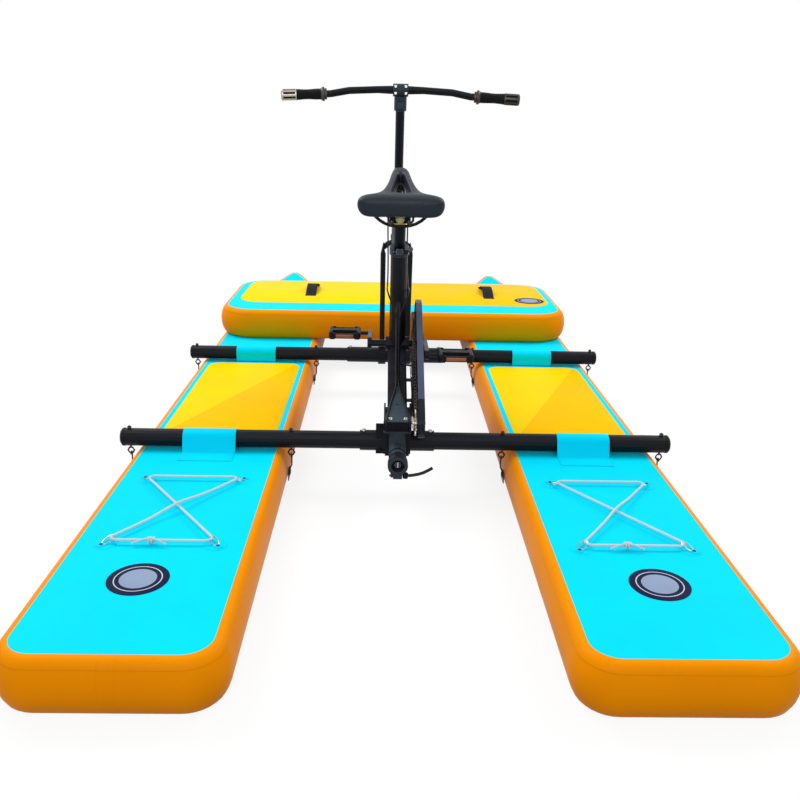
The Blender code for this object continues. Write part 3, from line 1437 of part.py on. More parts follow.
def bevel_gear(apex, axis, reference, phase):
    """A mitre gear on the given side of the apex; phase 0.5 sets its gaps on the reference line."""
    axis = Vector(axis)
    reference = Vector(reference)
    across = axis.cross(reference)
    tooth_profile = ((-0.36, 0.90), (-0.13, 1.07), (0.13, 1.07), (0.36, 0.90))
    rings = []
    for distance in (GEAR_RADIUS - GEAR_FACE, GEAR_RADIUS):
        points = []
        for tooth in range(GEAR_TEETH):
            for share, reach in tooth_profile:
                angle = math.tau * (tooth + phase + share) / GEAR_TEETH
                around = reference * math.cos(angle) + across * math.sin(angle)
                points.append(apex + axis * distance + around * distance * reach)
        rings.append(points)
    return loft_rings(rings)


def tail_shafts():
    """The upright shaft in two halves and the tail shaft with its slotted coupling."""
    split_z = (AXLE_Z - 0.0315)
    upper = rod(AXLE_POINT - UP * (GEAR_RADIUS - 0.001), Vector((0, SWIVEL_Y, split_z)), AXLE_RADIUS, sides=16)
    upper_gear = bevel_gear(AXLE_POINT, -UP, RIGHT, 0.5)
    make_part("upper_shaft", "steel", upper, join=(upper_gear,))
    cup_top = split_z + 0.004
    cup = rod(Vector((0, SWIVEL_Y, cup_top)), Vector((0, SWIVEL_Y, cup_top - 0.012)), 0.0075, sides=16)
    low = TAIL_POINT + UP * (GEAR_RADIUS - 0.001)
    stem = rod(low, Vector((0, SWIVEL_Y, cup_top - 0.010)), AXLE_RADIUS, sides=16)
    lower_gear = bevel_gear(TAIL_POINT, UP, -FORWARD, 0.0)
    socket = rod(Vector((0, SWIVEL_Y, split_z - SEAT_GAP)), Vector((0, SWIVEL_Y, cup_top + 0.01)), AXLE_RADIUS + RUN_GAP, sides=16)
    make_part("lower_shaft", "steel", cup, join=(stem, lower_gear), cut=(socket,))
    start = TAIL_POINT - FORWARD * (GEAR_RADIUS - 0.001)
    coupling_y = TAIL_END_Y + SOCKET_DEPTH * 0.30
    shaft = rod(start, Vector((0, coupling_y + 0.010, TAIL_Z)), AXLE_RADIUS, sides=16)
    coupling = rod(Vector((0, coupling_y + 0.012, TAIL_Z)), Vector((0, coupling_y, TAIL_Z)), 0.0085, sides=16)
    tail_gear = bevel_gear(TAIL_POINT, -FORWARD, UP, 0.5)
    slot = block((-0.0016, coupling_y - 0.01, TAIL_Z - 0.02), (0.0016, coupling_y + 0.006, TAIL_Z + 0.02))
    make_part("tail_shaft", "steel", shaft, join=(coupling, tail_gear), cut=(slot,))


def tail_lever_pivot():
    """Where the tail clamp's lever turns on its skewer."""
    return Vector((0.0205, TAIL_END_Y + 0.012, TAIL_Z - TAIL_TUBE_RADIUS - 0.008))


def tail_housing():
    """The swivelling housing: barrel, yoke on top, tail tube with its open socket and clamp ears."""
    yoke_top = AXLE_Z - GEARBOX_DEPTH - SEAT_GAP
    thickness = YOKE_THICKNESS
    bottom = TAIL_Z - 0.027
    barrel = rod((0, SWIVEL_Y, bottom), (0, SWIVEL_Y, yoke_top - thickness + 0.001), BARREL_RADIUS, sides=16)
    flat = Matrix.Translation((0, 0, yoke_top - thickness / 2))
    arms = []
    for side in (-1, 1):
        end = (side * YOKE_HALF_WIDTH, SWIVEL_Y - YOKE_SETBACK)
        outline = two_circle_outline((0, SWIVEL_Y), BARREL_RADIUS - 0.001 - side * 0.0002, end, 0.008, steps=8)
        arms.append(plate([outline], thickness, flat))
    tail_profile = [
        (0, TAIL_LENGTH),
        (TAIL_TUBE_RADIUS + 0.003, TAIL_LENGTH),
        (TAIL_TUBE_RADIUS + 0.003, TAIL_LENGTH - 0.030),
        (TAIL_TUBE_RADIUS, TAIL_LENGTH - 0.033),
        (TAIL_TUBE_RADIUS, TAIL_LENGTH - 0.056),
        (TAIL_TUBE_RADIUS - 0.0015, TAIL_LENGTH - 0.058),
        (TAIL_TUBE_RADIUS - 0.0015, TAIL_LENGTH - 0.062),
        (TAIL_TUBE_RADIUS, TAIL_LENGTH - 0.064),
        (TAIL_TUBE_RADIUS, 0.004),
        (0, 0.004),
    ]
    tail_end = Vector((0, TAIL_END_Y, TAIL_Z))
    tail_tube = turned(tail_profile, TAIL_POINT, tail_end, steps=16)
    ear_top = TAIL_Z - TAIL_TUBE_RADIUS - 0.001
    ears = block((-0.012, TAIL_END_Y + 0.003, ear_top - 0.014), (0.012, TAIL_END_Y + 0.021, ear_top + 0.002))
    skewer_z = tail_lever_pivot().z
    skewer_y = tail_lever_pivot().y
    skewer_end = tail_lever_pivot().x - 0.0072 - SEAT_GAP
    skewer = rod((-0.022, skewer_y, skewer_z), (skewer_end, skewer_y, skewer_z), 0.0028, sides=10)
    nut = rod((-0.0185, skewer_y, skewer_z), (-0.0115, skewer_y, skewer_z), 0.0062, sides=8)
    cutters = [
        rod((0, SWIVEL_Y, TAIL_Z - 0.0165), (0, SWIVEL_Y, yoke_top - thickness - 0.002), 0.0175, sides=16),
        rod((0, SWIVEL_Y, TAIL_Z), (0, SWIVEL_Y, yoke_top + 0.01), 0.0080, sides=12),
        rod(TAIL_POINT, tail_end + FORWARD * 0.01, AXLE_RADIUS + RUN_GAP, sides=16),
        rod(tail_end + FORWARD * SOCKET_DEPTH, tail_end - FORWARD * 0.01, SOCKET_RADIUS, sides=16),
    ]
    joins = (*arms, tail_tube, ears, skewer, nut)
    make_part("tail_housing", "black_paint", barrel, join=joins, cut=cutters)
    pivot = tail_lever_pivot()
    reach = TAIL_LEVER_LENGTH
    route = [
        pivot + RIGHT * 0.004,
        pivot + Vector((reach * 0.3, 0.001, 0.001)),
        pivot + Vector((reach * 0.65, 0.003, 0.007)),
        pivot + Vector((reach, 0.006, 0.020)),
    ]
    cam = rod(pivot - UP * 0.0068, pivot + UP * 0.0068, 0.0072, sides=14)
    arm = wire(smooth_route(route, 2), 0.0042, resolution=1)
    make_part("tail_lever", "black_paint", cam, join=(arm,))


def steering_cables():
    """The two steering cables, held along the frame from the post's drum to the yoke's ends."""
    drum = steering_point(HEAD_TUBE_START + HEAD_TUBE_LENGTH + 0.005)
    stay_start, stay_end = stay_ends()
    stay_run = (stay_end - stay_start).normalized()
    radius = 0.0024
    beside = Vector((0, stay_run.z, -stay_run.y)) * (STAY_RADIUS + radius + 4 * SEAT_GAP)
    over = GUSSET_THICKNESS / 2 + radius + 3 * SEAT_GAP
    yoke_top = AXLE_Z - GEARBOX_DEPTH - SEAT_GAP
    halves = []
    for side in (-1, 1):
        route = [
            drum + Vector((side * 0.0318, 0.004, 0.0)),
            drum + Vector((side * 0.0335, -0.05, -0.030)),
            Vector((side * 0.031, -0.14, 0.565)),
            Vector((side * 0.0325, -0.30, 0.520)),
            seat_point(0.20) + Vector((side * 0.0300, -0.008, 0.0)),
            seat_point(0.185) + Vector((side * 0.0160, -0.029, 0.0)),
            seat_point(0.165) + Vector((side * 0.0018, -0.0330, 0.0)),
            stay_start.lerp(stay_end, 0.32) + beside + RIGHT * side * 0.0016,
            stay_start.lerp(stay_end, 0.62) + beside + RIGHT * side * 0.0016,
            stay_start.lerp(stay_end, 0.90) + beside + Vector((side * 0.0016, -0.001, 0.002)),
        ]
        for y, x, rise in ((-0.588, 0.0040, 0.004), (-0.620, 0.0095, 0), (-0.700, 0.0212, 0), (-0.770, 0.0295, 0)):
            route.append(Vector((side * x, y, gusset_height(y) + over + rise)))
        route.append(Vector((side * 0.0315, GUSSET_REAR - 0.0030, gusset_height(GUSSET_REAR) + over)))
        route.append(Vector((side * 0.0320, GUSSET_REAR - 0.0065, GUSSET_REAR_Z - 0.008)))
        route.append(Vector((side * 0.0318, GUSSET_REAR + 0.0010, yoke_top + 0.0150)))
        route.append(Vector((side * 0.0314, SWIVEL_Y - 0.0300, yoke_top + 0.0070)))
        route.append(Vector((side * 0.0310, SWIVEL_Y - YOKE_SETBACK - 0.0052, yoke_top + 0.0030)))
        halves.append(wire(smooth_route(route, 1), radius, resolution=0))
    make_part("steering_cables", "plastic", halves[0], join=(halves[1],))


def joints():
    """Stand an empty on every joint's axis and hang the moving pieces on it."""
    hang("crank_axis", CRANK_AXIS, RIGHT, ("crank_right", "crank_left", "chainring"))
    hang("pedal_left_axis", pedal_centre(-1), RIGHT, ("pedal_left",), "crank_axis")
    hang("pedal_right_axis", pedal_centre(1), RIGHT, ("pedal_right",), "crank_axis")
    hang("sprocket_axis", AXLE_POINT, RIGHT, ("rear_sprocket",))
    hang("upper_shaft_axis", AXLE_POINT, UP, ("upper_shaft",))
    hang("tail_axis", TAIL_POINT, UP, ("tail_housing",))
    hang("lower_shaft_axis", TAIL_POINT, UP, ("lower_shaft",), "tail_axis")
    hang("tail_shaft_axis", TAIL_POINT, FORWARD, ("tail_shaft",), "tail_axis")
    hang("tail_lever_axis", tail_lever_pivot(), UP, ("tail_lever",), "tail_axis")
    steered = ("handlebar_post", "stem_clamp", "handlebar", "grip_left", "grip_right")
    hang("steering_axis", STEERING_BASE, STEERING_DIRECTION, steered)
    hang("seat_axis", seat_point(SADDLE_STEM), SEAT_DIRECTION, ("seat_post", "saddle", "saddle_rails"))
    hang("seat_lever_axis", seat_lever_pivot(), UP, ("seat_clamp_lever",))


def build():
    for side in (-1, 1):
        long_float(side)
    cross_float()
    valves()
    cross_tubes()
    handle("handle_left", -0.375)
    handle("handle_right", 0.435)
    for side in (-1, 1):
        bungee(side)
    welded_frame()
    fork()
    rear_bracket()
    gearbox()
    seat()
    saddle()
    steering()
    cranks()
    chain()
    chain_wheels()
    chain_guard()
    chain_guide()
    tail_shafts()
    tail_housing()
    steering_cables()
    joints()


build()
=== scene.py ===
"""Dresses the water bike's fixed frame with its floats, straps, cords, saddle, fittings and finishes."""

import math

import bmesh
import bpy
from bpy.props import FloatProperty, FloatVectorProperty, PointerProperty
from mathutils import Matrix, Vector


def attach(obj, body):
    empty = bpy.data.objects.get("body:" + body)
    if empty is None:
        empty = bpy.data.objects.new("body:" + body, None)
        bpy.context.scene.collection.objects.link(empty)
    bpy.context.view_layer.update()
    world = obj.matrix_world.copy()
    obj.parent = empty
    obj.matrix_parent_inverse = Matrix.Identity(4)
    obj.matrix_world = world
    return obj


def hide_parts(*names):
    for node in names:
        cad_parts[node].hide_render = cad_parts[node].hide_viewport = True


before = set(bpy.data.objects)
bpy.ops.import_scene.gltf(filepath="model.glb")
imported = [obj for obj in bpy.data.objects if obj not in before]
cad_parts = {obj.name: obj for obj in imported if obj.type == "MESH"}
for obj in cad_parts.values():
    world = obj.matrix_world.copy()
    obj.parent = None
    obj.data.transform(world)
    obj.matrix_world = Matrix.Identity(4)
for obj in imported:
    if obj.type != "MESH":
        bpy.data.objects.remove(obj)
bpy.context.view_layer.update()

bl_info = {
    "name": "Water Bike",
    "version": (1, 0, 0),
    "blender": (4, 5, 0),
    "location": "View3D > Sidebar > Water Bike",
    "description": "Builds the floats, soft goods, fittings and finishes of a pedalled water bike",
    "category": "Object",
}

RIGHT = Vector((1, 0, 0))
FORWARD = Vector((0, 1, 0))
UP = Vector((0, 0, 1))
SIDES = (("left", -1), ("right", 1))

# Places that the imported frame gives

DECK = 0.12
TUBE_HEIGHT = 0.15
TUBE_RADIUS = 0.025
REAR_TUBE = -0.68
FRONT_TUBE = 0.218
TUBE_PLACES = (("rear", REAR_TUBE), ("front", FRONT_TUBE))
REAR_END = -1.68
FRONT_END = 1.68
CROSS_REAR = 0.535
CROSS_FRONT = 1.245
CROSS_BASE = 0.1203
SEAT_GAP = 0.0003
SADDLE_TILT = math.radians(12.5)
SEAT_LEAN = Vector((0, -0.28067, 0.95981))
STEERING_LEAN = Vector((0, -0.309017, 0.951057))
CROSS_WIDTH = 1.49
CRANK_AXIS = Vector((0, -0.35, 0.347))
SADDLE_DISTANCE = 0.418
STEM_DISTANCE = 0.999
BAR_RADIUS = 0.0111
TAIL_END = Vector((0, -0.880, 0.155))

# Sizes and looks that several pieces of the dressing share

PANEL_THICKNESS = 0.0009
STRAP_THICKNESS = 0.0016
HANDLE_THICKNESS = 0.0026
CORD_LENGTH = 1.24
CAP_START = -0.036
WHITE = (1, 1, 1, 1)


def colour_property(name, text, red, green, blue):
    """A colour as a screen shows it, given as three numbers up to 255."""
    return FloatVectorProperty(
        name=name,
        description=text,
        subtype="COLOR_GAMMA",
        size=3,
        min=0.0,
        max=1.0,
        default=(red / 255, green / 255, blue / 255),
    )


def length_property(name, text, metres):
    """A length in metres."""
    return FloatProperty(
        name=name, description=text, default=metres, min=0.0, unit="LENGTH", subtype="DISTANCE"
    )


def power_property(name, text, watts):
    """A lamp's power in watts."""
    return FloatProperty(name=name, description=text, default=watts, min=0.0, unit="POWER")


class FloatSettings(bpy.types.PropertyGroup):
    """Sizes and colours of the three inflatable floats."""

    width: length_property("Width", "Overall width of a long float", 0.434)
    thickness: length_property("Thickness", "Depth of every float from deck to bottom", 0.12)
    spacing: length_property("Spacing", "Distance between the long floats' centre lines", 1.054)
    bulge: length_property("Bulge", "How far the side wall swells past the seam", 0.031)
    nose_length: length_property("Nose length", "Length of the pointed front end", 0.46)
    nose_rise: length_property("Nose rise", "How far the front end curves up", 0.09)
    tape_width: length_property("Tape width", "How far the seam tape reaches down the wall", 0.016)
    badge_width: length_property("Badge width", "Width of the plain ring badges", 0.126)
    deck_colour: colour_property("Deck", "Colour of the decks", 0, 222, 255)
    wall_colour: colour_property("Wall", "Colour of the side walls", 255, 152, 2)
    # The lighter half of each panel is a painted reflection on the panel's own deeper yellow.
    panel_reflection_colour: colour_property("Panel", "Lighter half of the yellow panels", 255, 213, 0)
    panel_deep_colour: colour_property("Deep panel", "Deeper half of the yellow panels", 255, 195, 0)
    strap_colour: colour_property("Strap", "Colour of the tube straps", 2, 218, 252)


class FittingSettings(bpy.types.PropertyGroup):
    """Sizes and colours of the straps, cords, handles, saddle and grips."""

    strap_width: length_property("Strap width", "Width of the straps over the tubes", 0.148)
    strap_flap: length_property("Strap flap", "Length of a strap's welded end", 0.06)
    cord_width: length_property("Cord width", "Thickness of the elastic cords", 0.006)
    handle_width: length_property("Handle width", "Width of the webbing handles", 0.048)
    saddle_width: length_property("Saddle width", "Width of the saddle at its rear", 0.235)
    saddle_length: length_property("Saddle length", "Length of the saddle", 0.27)
    grip_length: length_property("Grip length", "Length of each handlebar grip", 0.13)
    paint_colour: colour_property("Frame paint", "Colour of the tubes and the frame", 12, 15, 23)
    guard_colour: colour_property("Grey paint", "Colour of the chain guard", 72, 80, 102)
    saddle_colour: colour_property("Saddle", "Colour of the saddle's cover", 22, 31, 43)
    cord_colour: colour_property("Cord", "Colour of the elastic cords", 238, 242, 246)


class StageSettings(bpy.types.PropertyGroup):
    """The studio's light levels and the lens."""

    lens: FloatProperty(
        name="Lens", description="Focal length of the camera", default=38.025, min=1.0, unit="CAMERA"
    )
    key_power: power_property("Key light", "Power of the large lamp", 165.0)
    fill_power: power_property("Fill light", "Power of the side lamp", 105.0)
    front_power: power_property("Front light", "Power of the low lamp", 62.0)
    sky_level: FloatProperty(
        name="Sky level", description="Strength of the even light from around", default=0.50, min=0.0
    )


# Shader effects that several finishes share


def feed(tree, socket, term):
    """Give an input socket what it takes: a link from another socket, a plain value, or nothing."""
    if isinstance(term, bpy.types.NodeSocket):
        tree.links.new(term, socket)
    elif term is not None:
        socket.default_value = term


def linear(colour):
    """A screen colour as the shader's own numbers, with full alpha."""
    parts = [c / 12.92 if c <= 0.04045 else ((c + 0.055) / 1.055) ** 2.4 for c in colour]
    return (*parts, 1.0)


def add_node(tree, kind, inputs=None, **settings):
    """Add a shader node with its settings and what its inputs take."""
    node = tree.nodes.new(kind)
    for key, value in settings.items():
        setattr(node, key, value)
    for key, term in (inputs or {}).items():
        feed(tree, node.inputs[key], term)
    return node


def math_node(tree, operation, first, second=None, clamp=False):
    """One arithmetic step; each term is a socket or a number."""
    inputs = {0: first, 1: second}
    return add_node(tree, "ShaderNodeMath", inputs, operation=operation, use_clamp=clamp).outputs[0]


def map_range(tree, value, low, high, to_low=0.0, to_high=1.0, kind="LINEAR"):
    """A value carried from one span onto another."""
    inputs = {"Value": value, "From Min": low, "From Max": high, "To Min": to_low, "To Max": to_high}
    return add_node(tree, "ShaderNodeMapRange", inputs, interpolation_type=kind).outputs["Result"]


def noise(tree, vector, scale, detail, roughness=0.5):
    """The value of a noise pattern."""
    inputs = {"Vector": vector, "Scale": scale, "Detail": detail, "Roughness": roughness}
    return add_node(tree, "ShaderNodeTexNoise", inputs).outputs["Fac"]


def mapping(tree, vector, scale=(1.0, 1.0, 1.0), turn=0.0):
    """A vector that is scaled and then turned about Z."""
    inputs = {"Vector": vector, "Scale": scale, "Rotation": (0, 0, turn)}
    return add_node(tree, "ShaderNodeMapping", inputs).outputs["Vector"]


def new_group(name, vector, numbers, results):
    """An empty shader group that takes a vector and numbers; returns its tree, inputs and results."""
    tree = bpy.data.node_groups.new(name, "ShaderNodeTree")
    tree.interface.new_socket(name=vector, in_out="INPUT", socket_type="NodeSocketVector")
    for label, value in numbers.items():
        socket = tree.interface.new_socket(name=label, in_out="INPUT", socket_type="NodeSocketFloat")
        socket.default_value = value
    for label in results:
        tree.interface.new_socket(name=label, in_out="OUTPUT", socket_type="NodeSocketFloat")
    return tree, tree.nodes.new("NodeGroupInput").outputs, tree.nodes.new("NodeGroupOutput").inputs


def fine_grain_group():
    """A pebbled surface: small bumps and a softer, larger unevenness."""
    tree, given, result = new_group("fine_grain", "Vector", {"Scale": 900.0}, ("Height", "Mottle"))
    small = noise(tree, given["Vector"], given["Scale"], 3.0, 0.6)
    wide = math_node(tree, "MULTIPLY", given["Scale"], 0.03)
    large = noise(tree, given["Vector"], wide, 4.0, 0.55)
    feed(tree, result["Height"], small)
    feed(tree, result["Mottle"], map_range(tree, large, 0.3, 0.7))
    return tree


def worn_edges_group():
    """A mask that is bright where an edge is sharp enough to rub bare."""
    tree, given, result = new_group("worn_edges", "Vector", {"Radius": 0.002, "Amount": 0.5}, ("Mask",))
    rounded = add_node(tree, "ShaderNodeBevel", {"Radius": given["Radius"]}, samples=4).outputs["Normal"]
    surface = add_node(tree, "ShaderNodeNewGeometry").outputs["Normal"]
    turn = add_node(tree, "ShaderNodeVectorMath", {0: rounded, 1: surface}, operation="DOT_PRODUCT")
    sharp = math_node(tree, "SUBTRACT", 1.0, turn.outputs["Value"])
    broken = math_node(tree, "MULTIPLY", sharp, noise(tree, given["Vector"], 160.0, 4.0))
    shown = map_range(tree, broken, 0.04, 0.14)
    feed(tree, result["Mask"], math_node(tree, "MULTIPLY", shown, given["Amount"], clamp=True))
    return tree


def plain_weave_group():
    """Crossing threads: their height, and a mask of the gaps between them, where the woven finishes paint
    shade.
    """
    tree, given, result = new_group("plain_weave", "Vector", {"Scale": 500.0}, ("Height", "Gap"))
    place = {"Vector": given["Vector"], "Scale": given["Scale"]}
    threads = []
    for direction in ("X", "Y"):
        wave = add_node(tree, "ShaderNodeTexWave", {**place, "Distortion": 0.0}, bands_direction=direction)
        threads.append(wave.outputs["Fac"])
    full_turn = 6.2832
    place["Scale"] = math_node(tree, "MULTIPLY", given["Scale"], full_turn)
    over = add_node(tree, "ShaderNodeTexChecker", place).outputs["Fac"]
    crossed = {"Factor": over, "A": threads[0], "B": threads[1]}
    height = add_node(tree, "ShaderNodeMix", crossed, data_type="FLOAT").outputs["Result"]
    low = math_node(tree, "MULTIPLY", *threads)
    feed(tree, result["Height"], height)
    feed(tree, result["Gap"], math_node(tree, "SUBTRACT", 1.0, low, clamp=True))
    return tree


def seam_creases_group():
    """Short puckers that stand across a taped seam; the map runs along the wall and down it, in metres."""
    tree, given, result = new_group("seam_creases", "Wall map", {"Joint": 0.0}, ("Height", "Shade"))
    wall = given["Wall map"]
    wall_middle = 0.083
    parts = add_node(tree, "ShaderNodeSeparateXYZ", {"Vector": wall}).outputs
    folds = noise(tree, mapping(tree, wall, (46.0, 7.0, 1.0)), 1.0, 2.0)
    waves = noise(tree, mapping(tree, wall, (9.0, 3.0, 1.0)), 1.0, 1.0)
    away = math_node(tree, "ABSOLUTE", math_node(tree, "SUBTRACT", parts["Y"], wall_middle))
    beside = math_node(tree, "ABSOLUTE", math_node(tree, "SUBTRACT", parts["X"], given["Joint"]))
    near = map_range(tree, away, 0.03, 0.075, 0.12, 1.0, "SMOOTHSTEP")
    tape = map_range(tree, away, 0.0520, 0.0545, 0.0, 0.40, "SMOOTHSTEP")
    lap = map_range(tree, beside, 0.0145, 0.0165, 0.35, 0.0, "SMOOTHSTEP")
    taped = math_node(tree, "ADD", math_node(tree, "MULTIPLY", folds, near), tape)
    feed(tree, result["Height"], math_node(tree, "ADD", taped, lap))
    feed(tree, result["Shade"], waves)
    return tree


EFFECTS = {}
FINISHES = {}


def effect(tree, name, inputs):
    """One use of a shared effect in a material; returns what it puts out."""
    return add_node(tree, "ShaderNodeGroup", inputs, node_tree=EFFECTS[name]).outputs


def mix_colour(tree, factor, first, second):
    """A blend of two colours by a varying factor; each colour is a socket or a plain value."""
    inputs = {"Factor": factor, 6: first, 7: second}
    return add_node(tree, "ShaderNodeMix", inputs, data_type="RGBA").outputs[2]


def mottled(tree, factor, colour, variation):
    """A linear colour that wanders between a darker and a lighter shade of itself."""
    return mix_colour(tree, factor, shade_of(colour, 1 - variation), shade_of(colour, 1 + variation))


def shade_of(colour, amount):
    """A darker or lighter shade of a linear colour."""
    return (*[min(1.0, part * amount) for part in colour[:3]], 1.0)


def start_finish(name, constants):
    """A new material with its shader's constant values set; returns its tree and shader."""
    material = bpy.data.materials.new(name)
    material.use_nodes = True
    shader = material.node_tree.nodes["Principled BSDF"]
    for key, value in constants.items():
        shader.inputs[key].default_value = value
    FINISHES[name] = material
    return material.node_tree, shader


def roughness_from(tree, shader, value, low, high):
    """Let the gloss vary over the surface between two values."""
    feed(tree, shader.inputs["Roughness"], map_range(tree, value, 0.0, 1.0, low, high))


def bump_from(tree, shader, height, strength, depth, under=None):
    """Raise the surface by a height, over another bump if one is given; returns the normal."""
    inputs = {"Height": height, "Strength": strength, "Distance": depth, "Normal": under}
    normal = add_node(tree, "ShaderNodeBump", inputs).outputs["Normal"]
    feed(tree, shader.inputs["Normal"], normal)
    return normal


def hard_finish(name, colour, gloss, grain, bump, variation, wear=None, rear=None, **constants):
    """Painted, plated or moulded surface with a fine grain, and rubbed edges or a darker rear if given."""
    tree, shader = start_finish(name, constants)
    place = add_node(tree, "ShaderNodeTexCoord").outputs["Object"]
    surface = effect(tree, "fine_grain", {"Scale": grain, "Vector": place})
    shown = mottled(tree, surface["Mottle"], linear(colour), variation)
    if wear is not None:
        worn_colour, radius, amount = wear
        edges = effect(tree, "worn_edges", {"Radius": radius, "Amount": amount, "Vector": place})
        shown = mix_colour(tree, edges["Mask"], shown, linear(worn_colour))
    if rear is not None:
        rear_colour, limit = rear
        parts = add_node(tree, "ShaderNodeSeparateXYZ", {"Vector": place}).outputs
        behind = math_node(tree, "LESS_THAN", parts["Y"], limit)
        shown = mix_colour(tree, behind, shown, linear(rear_colour))
    feed(tree, shader.inputs["Base Color"], shown)
    roughness_from(tree, shader, surface["Mottle"], *gloss)
    bump_from(tree, shader, surface["Height"], bump, 0.0004)


def coated_fabric(name, colour, gloss, variation=0.04, creased=False, joint=-1.0, **constants):
    """Glossy coated fabric, with its weave showing faintly through the coat and creases at taped seams."""
    tree, shader = start_finish(name, constants)
    where = add_node(tree, "ShaderNodeTexCoord").outputs
    surface = effect(tree, "fine_grain", {"Scale": 220.0, "Vector": where["Object"]})
    weave = effect(tree, "plain_weave", {"Scale": 105.0, "Vector": where["UV"]})
    shown = mottled(tree, surface["Mottle"], linear(colour), variation)
    roughness_from(tree, shader, surface["Mottle"], *gloss)
    normal = bump_from(tree, shader, weave["Height"], 0.10, 0.00025)
    normal = bump_from(tree, shader, surface["Mottle"], 0.16, 0.0012, normal)
    if creased:
        creases = effect(tree, "seam_creases", {"Joint": joint, "Wall map": where["UV"]})
        shown = mix_colour(tree, creases["Shade"], shown, shade_of(linear(colour), 0.93))
        bump_from(tree, shader, creases["Height"], 0.5, 0.004, normal)
    feed(tree, shader.inputs["Base Color"], shown)


def woven_finish(name, colour, gap_shade_colour, scale, bump, gloss, stretch=(1.0, 1.0), turn=0.0, **constants):
    """Webbing and braided cord: threads that cross, with painted shade in the gaps between them."""
    tree, shader = start_finish(name, constants)
    metres = mapping(tree, add_node(tree, "ShaderNodeTexCoord").outputs["UV"], (*stretch, 1.0))
    weave = effect(tree, "plain_weave", {"Scale": scale, "Vector": mapping(tree, metres, turn=turn)})
    surface = effect(tree, "fine_grain", {"Scale": scale * 4, "Vector": metres})
    shown = mix_colour(tree, surface["Mottle"], shade_of(linear(colour), 0.9), linear(colour))
    shown = mix_colour(tree, weave["Gap"], shown, linear(gap_shade_colour))
    feed(tree, shader.inputs["Base Color"], shown)
    roughness_from(tree, shader, surface["Height"], *gloss)
    bump_from(tree, shader, weave["Height"], bump, 0.0006)


# Mesh tools


def new_object(name, data):
    """Put a new object with its data into the scene."""
    thing = bpy.data.objects.new(name, data)
    bpy.context.scene.collection.objects.link(thing)
    return thing


def add_piece(name, shape, body, materials, sharp):
    """Turn a bmesh into a finished piece, in its place, that rides on a body of the frame."""
    mesh = bpy.data.meshes.new(name)
    shape.to_mesh(mesh)
    shape.free()
    for material in materials.split():
        mesh.materials.append(FINISHES[material])
    mesh.shade_smooth()
    mesh.set_sharp_from_angle(angle=math.radians(sharp))
    piece = new_object(name, mesh)
    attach(piece, body)
    return piece


def added_faces(shape, before, material=0):
    """The faces that were not there before, with their material set."""
    faces = [face for face in shape.faces if face not in before]
    for face in faces:
        face.material_index = material
    return faces


def corners_of(faces):
    """Every vertex of some faces, each once."""
    return list(dict.fromkeys(vert for face in faces for vert in face.verts))


def extruded_row(shape, row, edges):
    """Extrude a row of edges; returns the new vertices in the row's order, their edges and the faces."""
    made = bmesh.ops.extrude_edge_only(shape, edges=edges)["geom"]
    fresh = {item for item in made if isinstance(item, bmesh.types.BMVert)}
    grown = []
    for vert in row:
        others = [edge.other_vert(vert) for edge in vert.link_edges]
        grown.append(next(other for other in others if other in fresh))
    edges = [item for item in made if isinstance(item, bmesh.types.BMEdge) and fresh.issuperset(item.verts)]
    return grown, edges, [item for item in made if isinstance(item, bmesh.types.BMFace)]


def cut_across(shape, point, normal, merge=1e-6):
    """Cut every face of the shape along a plane."""
    geometry = [*shape.verts, *shape.edges, *shape.faces]
    bmesh.ops.bisect_plane(shape, geom=geometry, dist=merge, plane_co=point, plane_no=normal)


def axis_place(origin, axis):
    """A matrix that carries the Z axis from the origin onto an axis through a point."""
    return Matrix.Translation(origin) @ Vector(axis).to_track_quat("Z", "Y").to_matrix().to_4x4()


def spun(shape, profile, origin, axis, steps=32, material=0):
    """Turn a profile of (radius, height) round an axis and add it to the shape; returns its faces."""
    before = set(shape.faces)
    verts = [shape.verts.new((radius, 0, height)) for radius, height in profile]
    edges = [shape.edges.new(pair) for pair in zip(verts, verts[1:])]
    line = [*verts, *edges]
    centre = (0, 0, 0)
    bmesh.ops.spin(shape, geom=line, cent=centre, axis=UP, angle=math.tau, steps=steps, use_merge=True)
    ends = [vert for vert in verts if vert.is_valid]
    made = list(dict.fromkeys([*corners_of(added_faces(shape, before)), *ends]))
    bmesh.ops.remove_doubles(shape, verts=made, dist=1e-6)
    faces = added_faces(shape, before, material)
    bmesh.ops.recalc_face_normals(shape, faces=faces)
    bmesh.ops.transform(shape, matrix=axis_place(origin, axis), verts=corners_of(faces))
    return faces


def bevelled_box(shape, centre, size, turn=None, edge=0.0015, segments=2, material=0):
    """Add a box with rounded edges; turn is an extra rotation about its own centre."""
    before = set(shape.faces)
    place = Matrix.Translation(centre) @ (turn or Matrix.Identity(4)) @ Matrix.Diagonal((*size, 1))
    made = bmesh.ops.create_cube(shape, size=1.0, matrix=place)["verts"]
    lines = list(dict.fromkeys(line for vert in made for line in vert.link_edges))
    bmesh.ops.bevel(
        shape, geom=lines, offset=edge, segments=segments, affect="EDGES", profile=0.5, material=-1
    )
    added_faces(shape, before, material)


def hexagon_bolt(shape, foot, axis, across, height):
    """Add a hexagon bolt head with a washer and a chamfered top."""
    radius = across / math.sqrt(3)
    base = height * 0.18
    spun(shape, ((0, 0), (radius * 1.35, 0), (radius * 1.35, base), (0, base)), foot, axis, 20)
    head = ((0, base), (radius, base), (radius, height * 0.9), (radius * 0.86, height), (0, height))
    spun(shape, head, foot, axis, 6)


def socket_bolt(shape, foot, axis, radius, height):
    """Add a round bolt head with a six-sided socket sunk into it."""
    outline = ((0, 0), (1, 0), (1, 0.8), (0.88, 1), (0.5, 1), (0.48, 0.45), (0, 0.40))
    spun(shape, [(radius * wide, height * high) for wide, high in outline], foot, axis, 18)


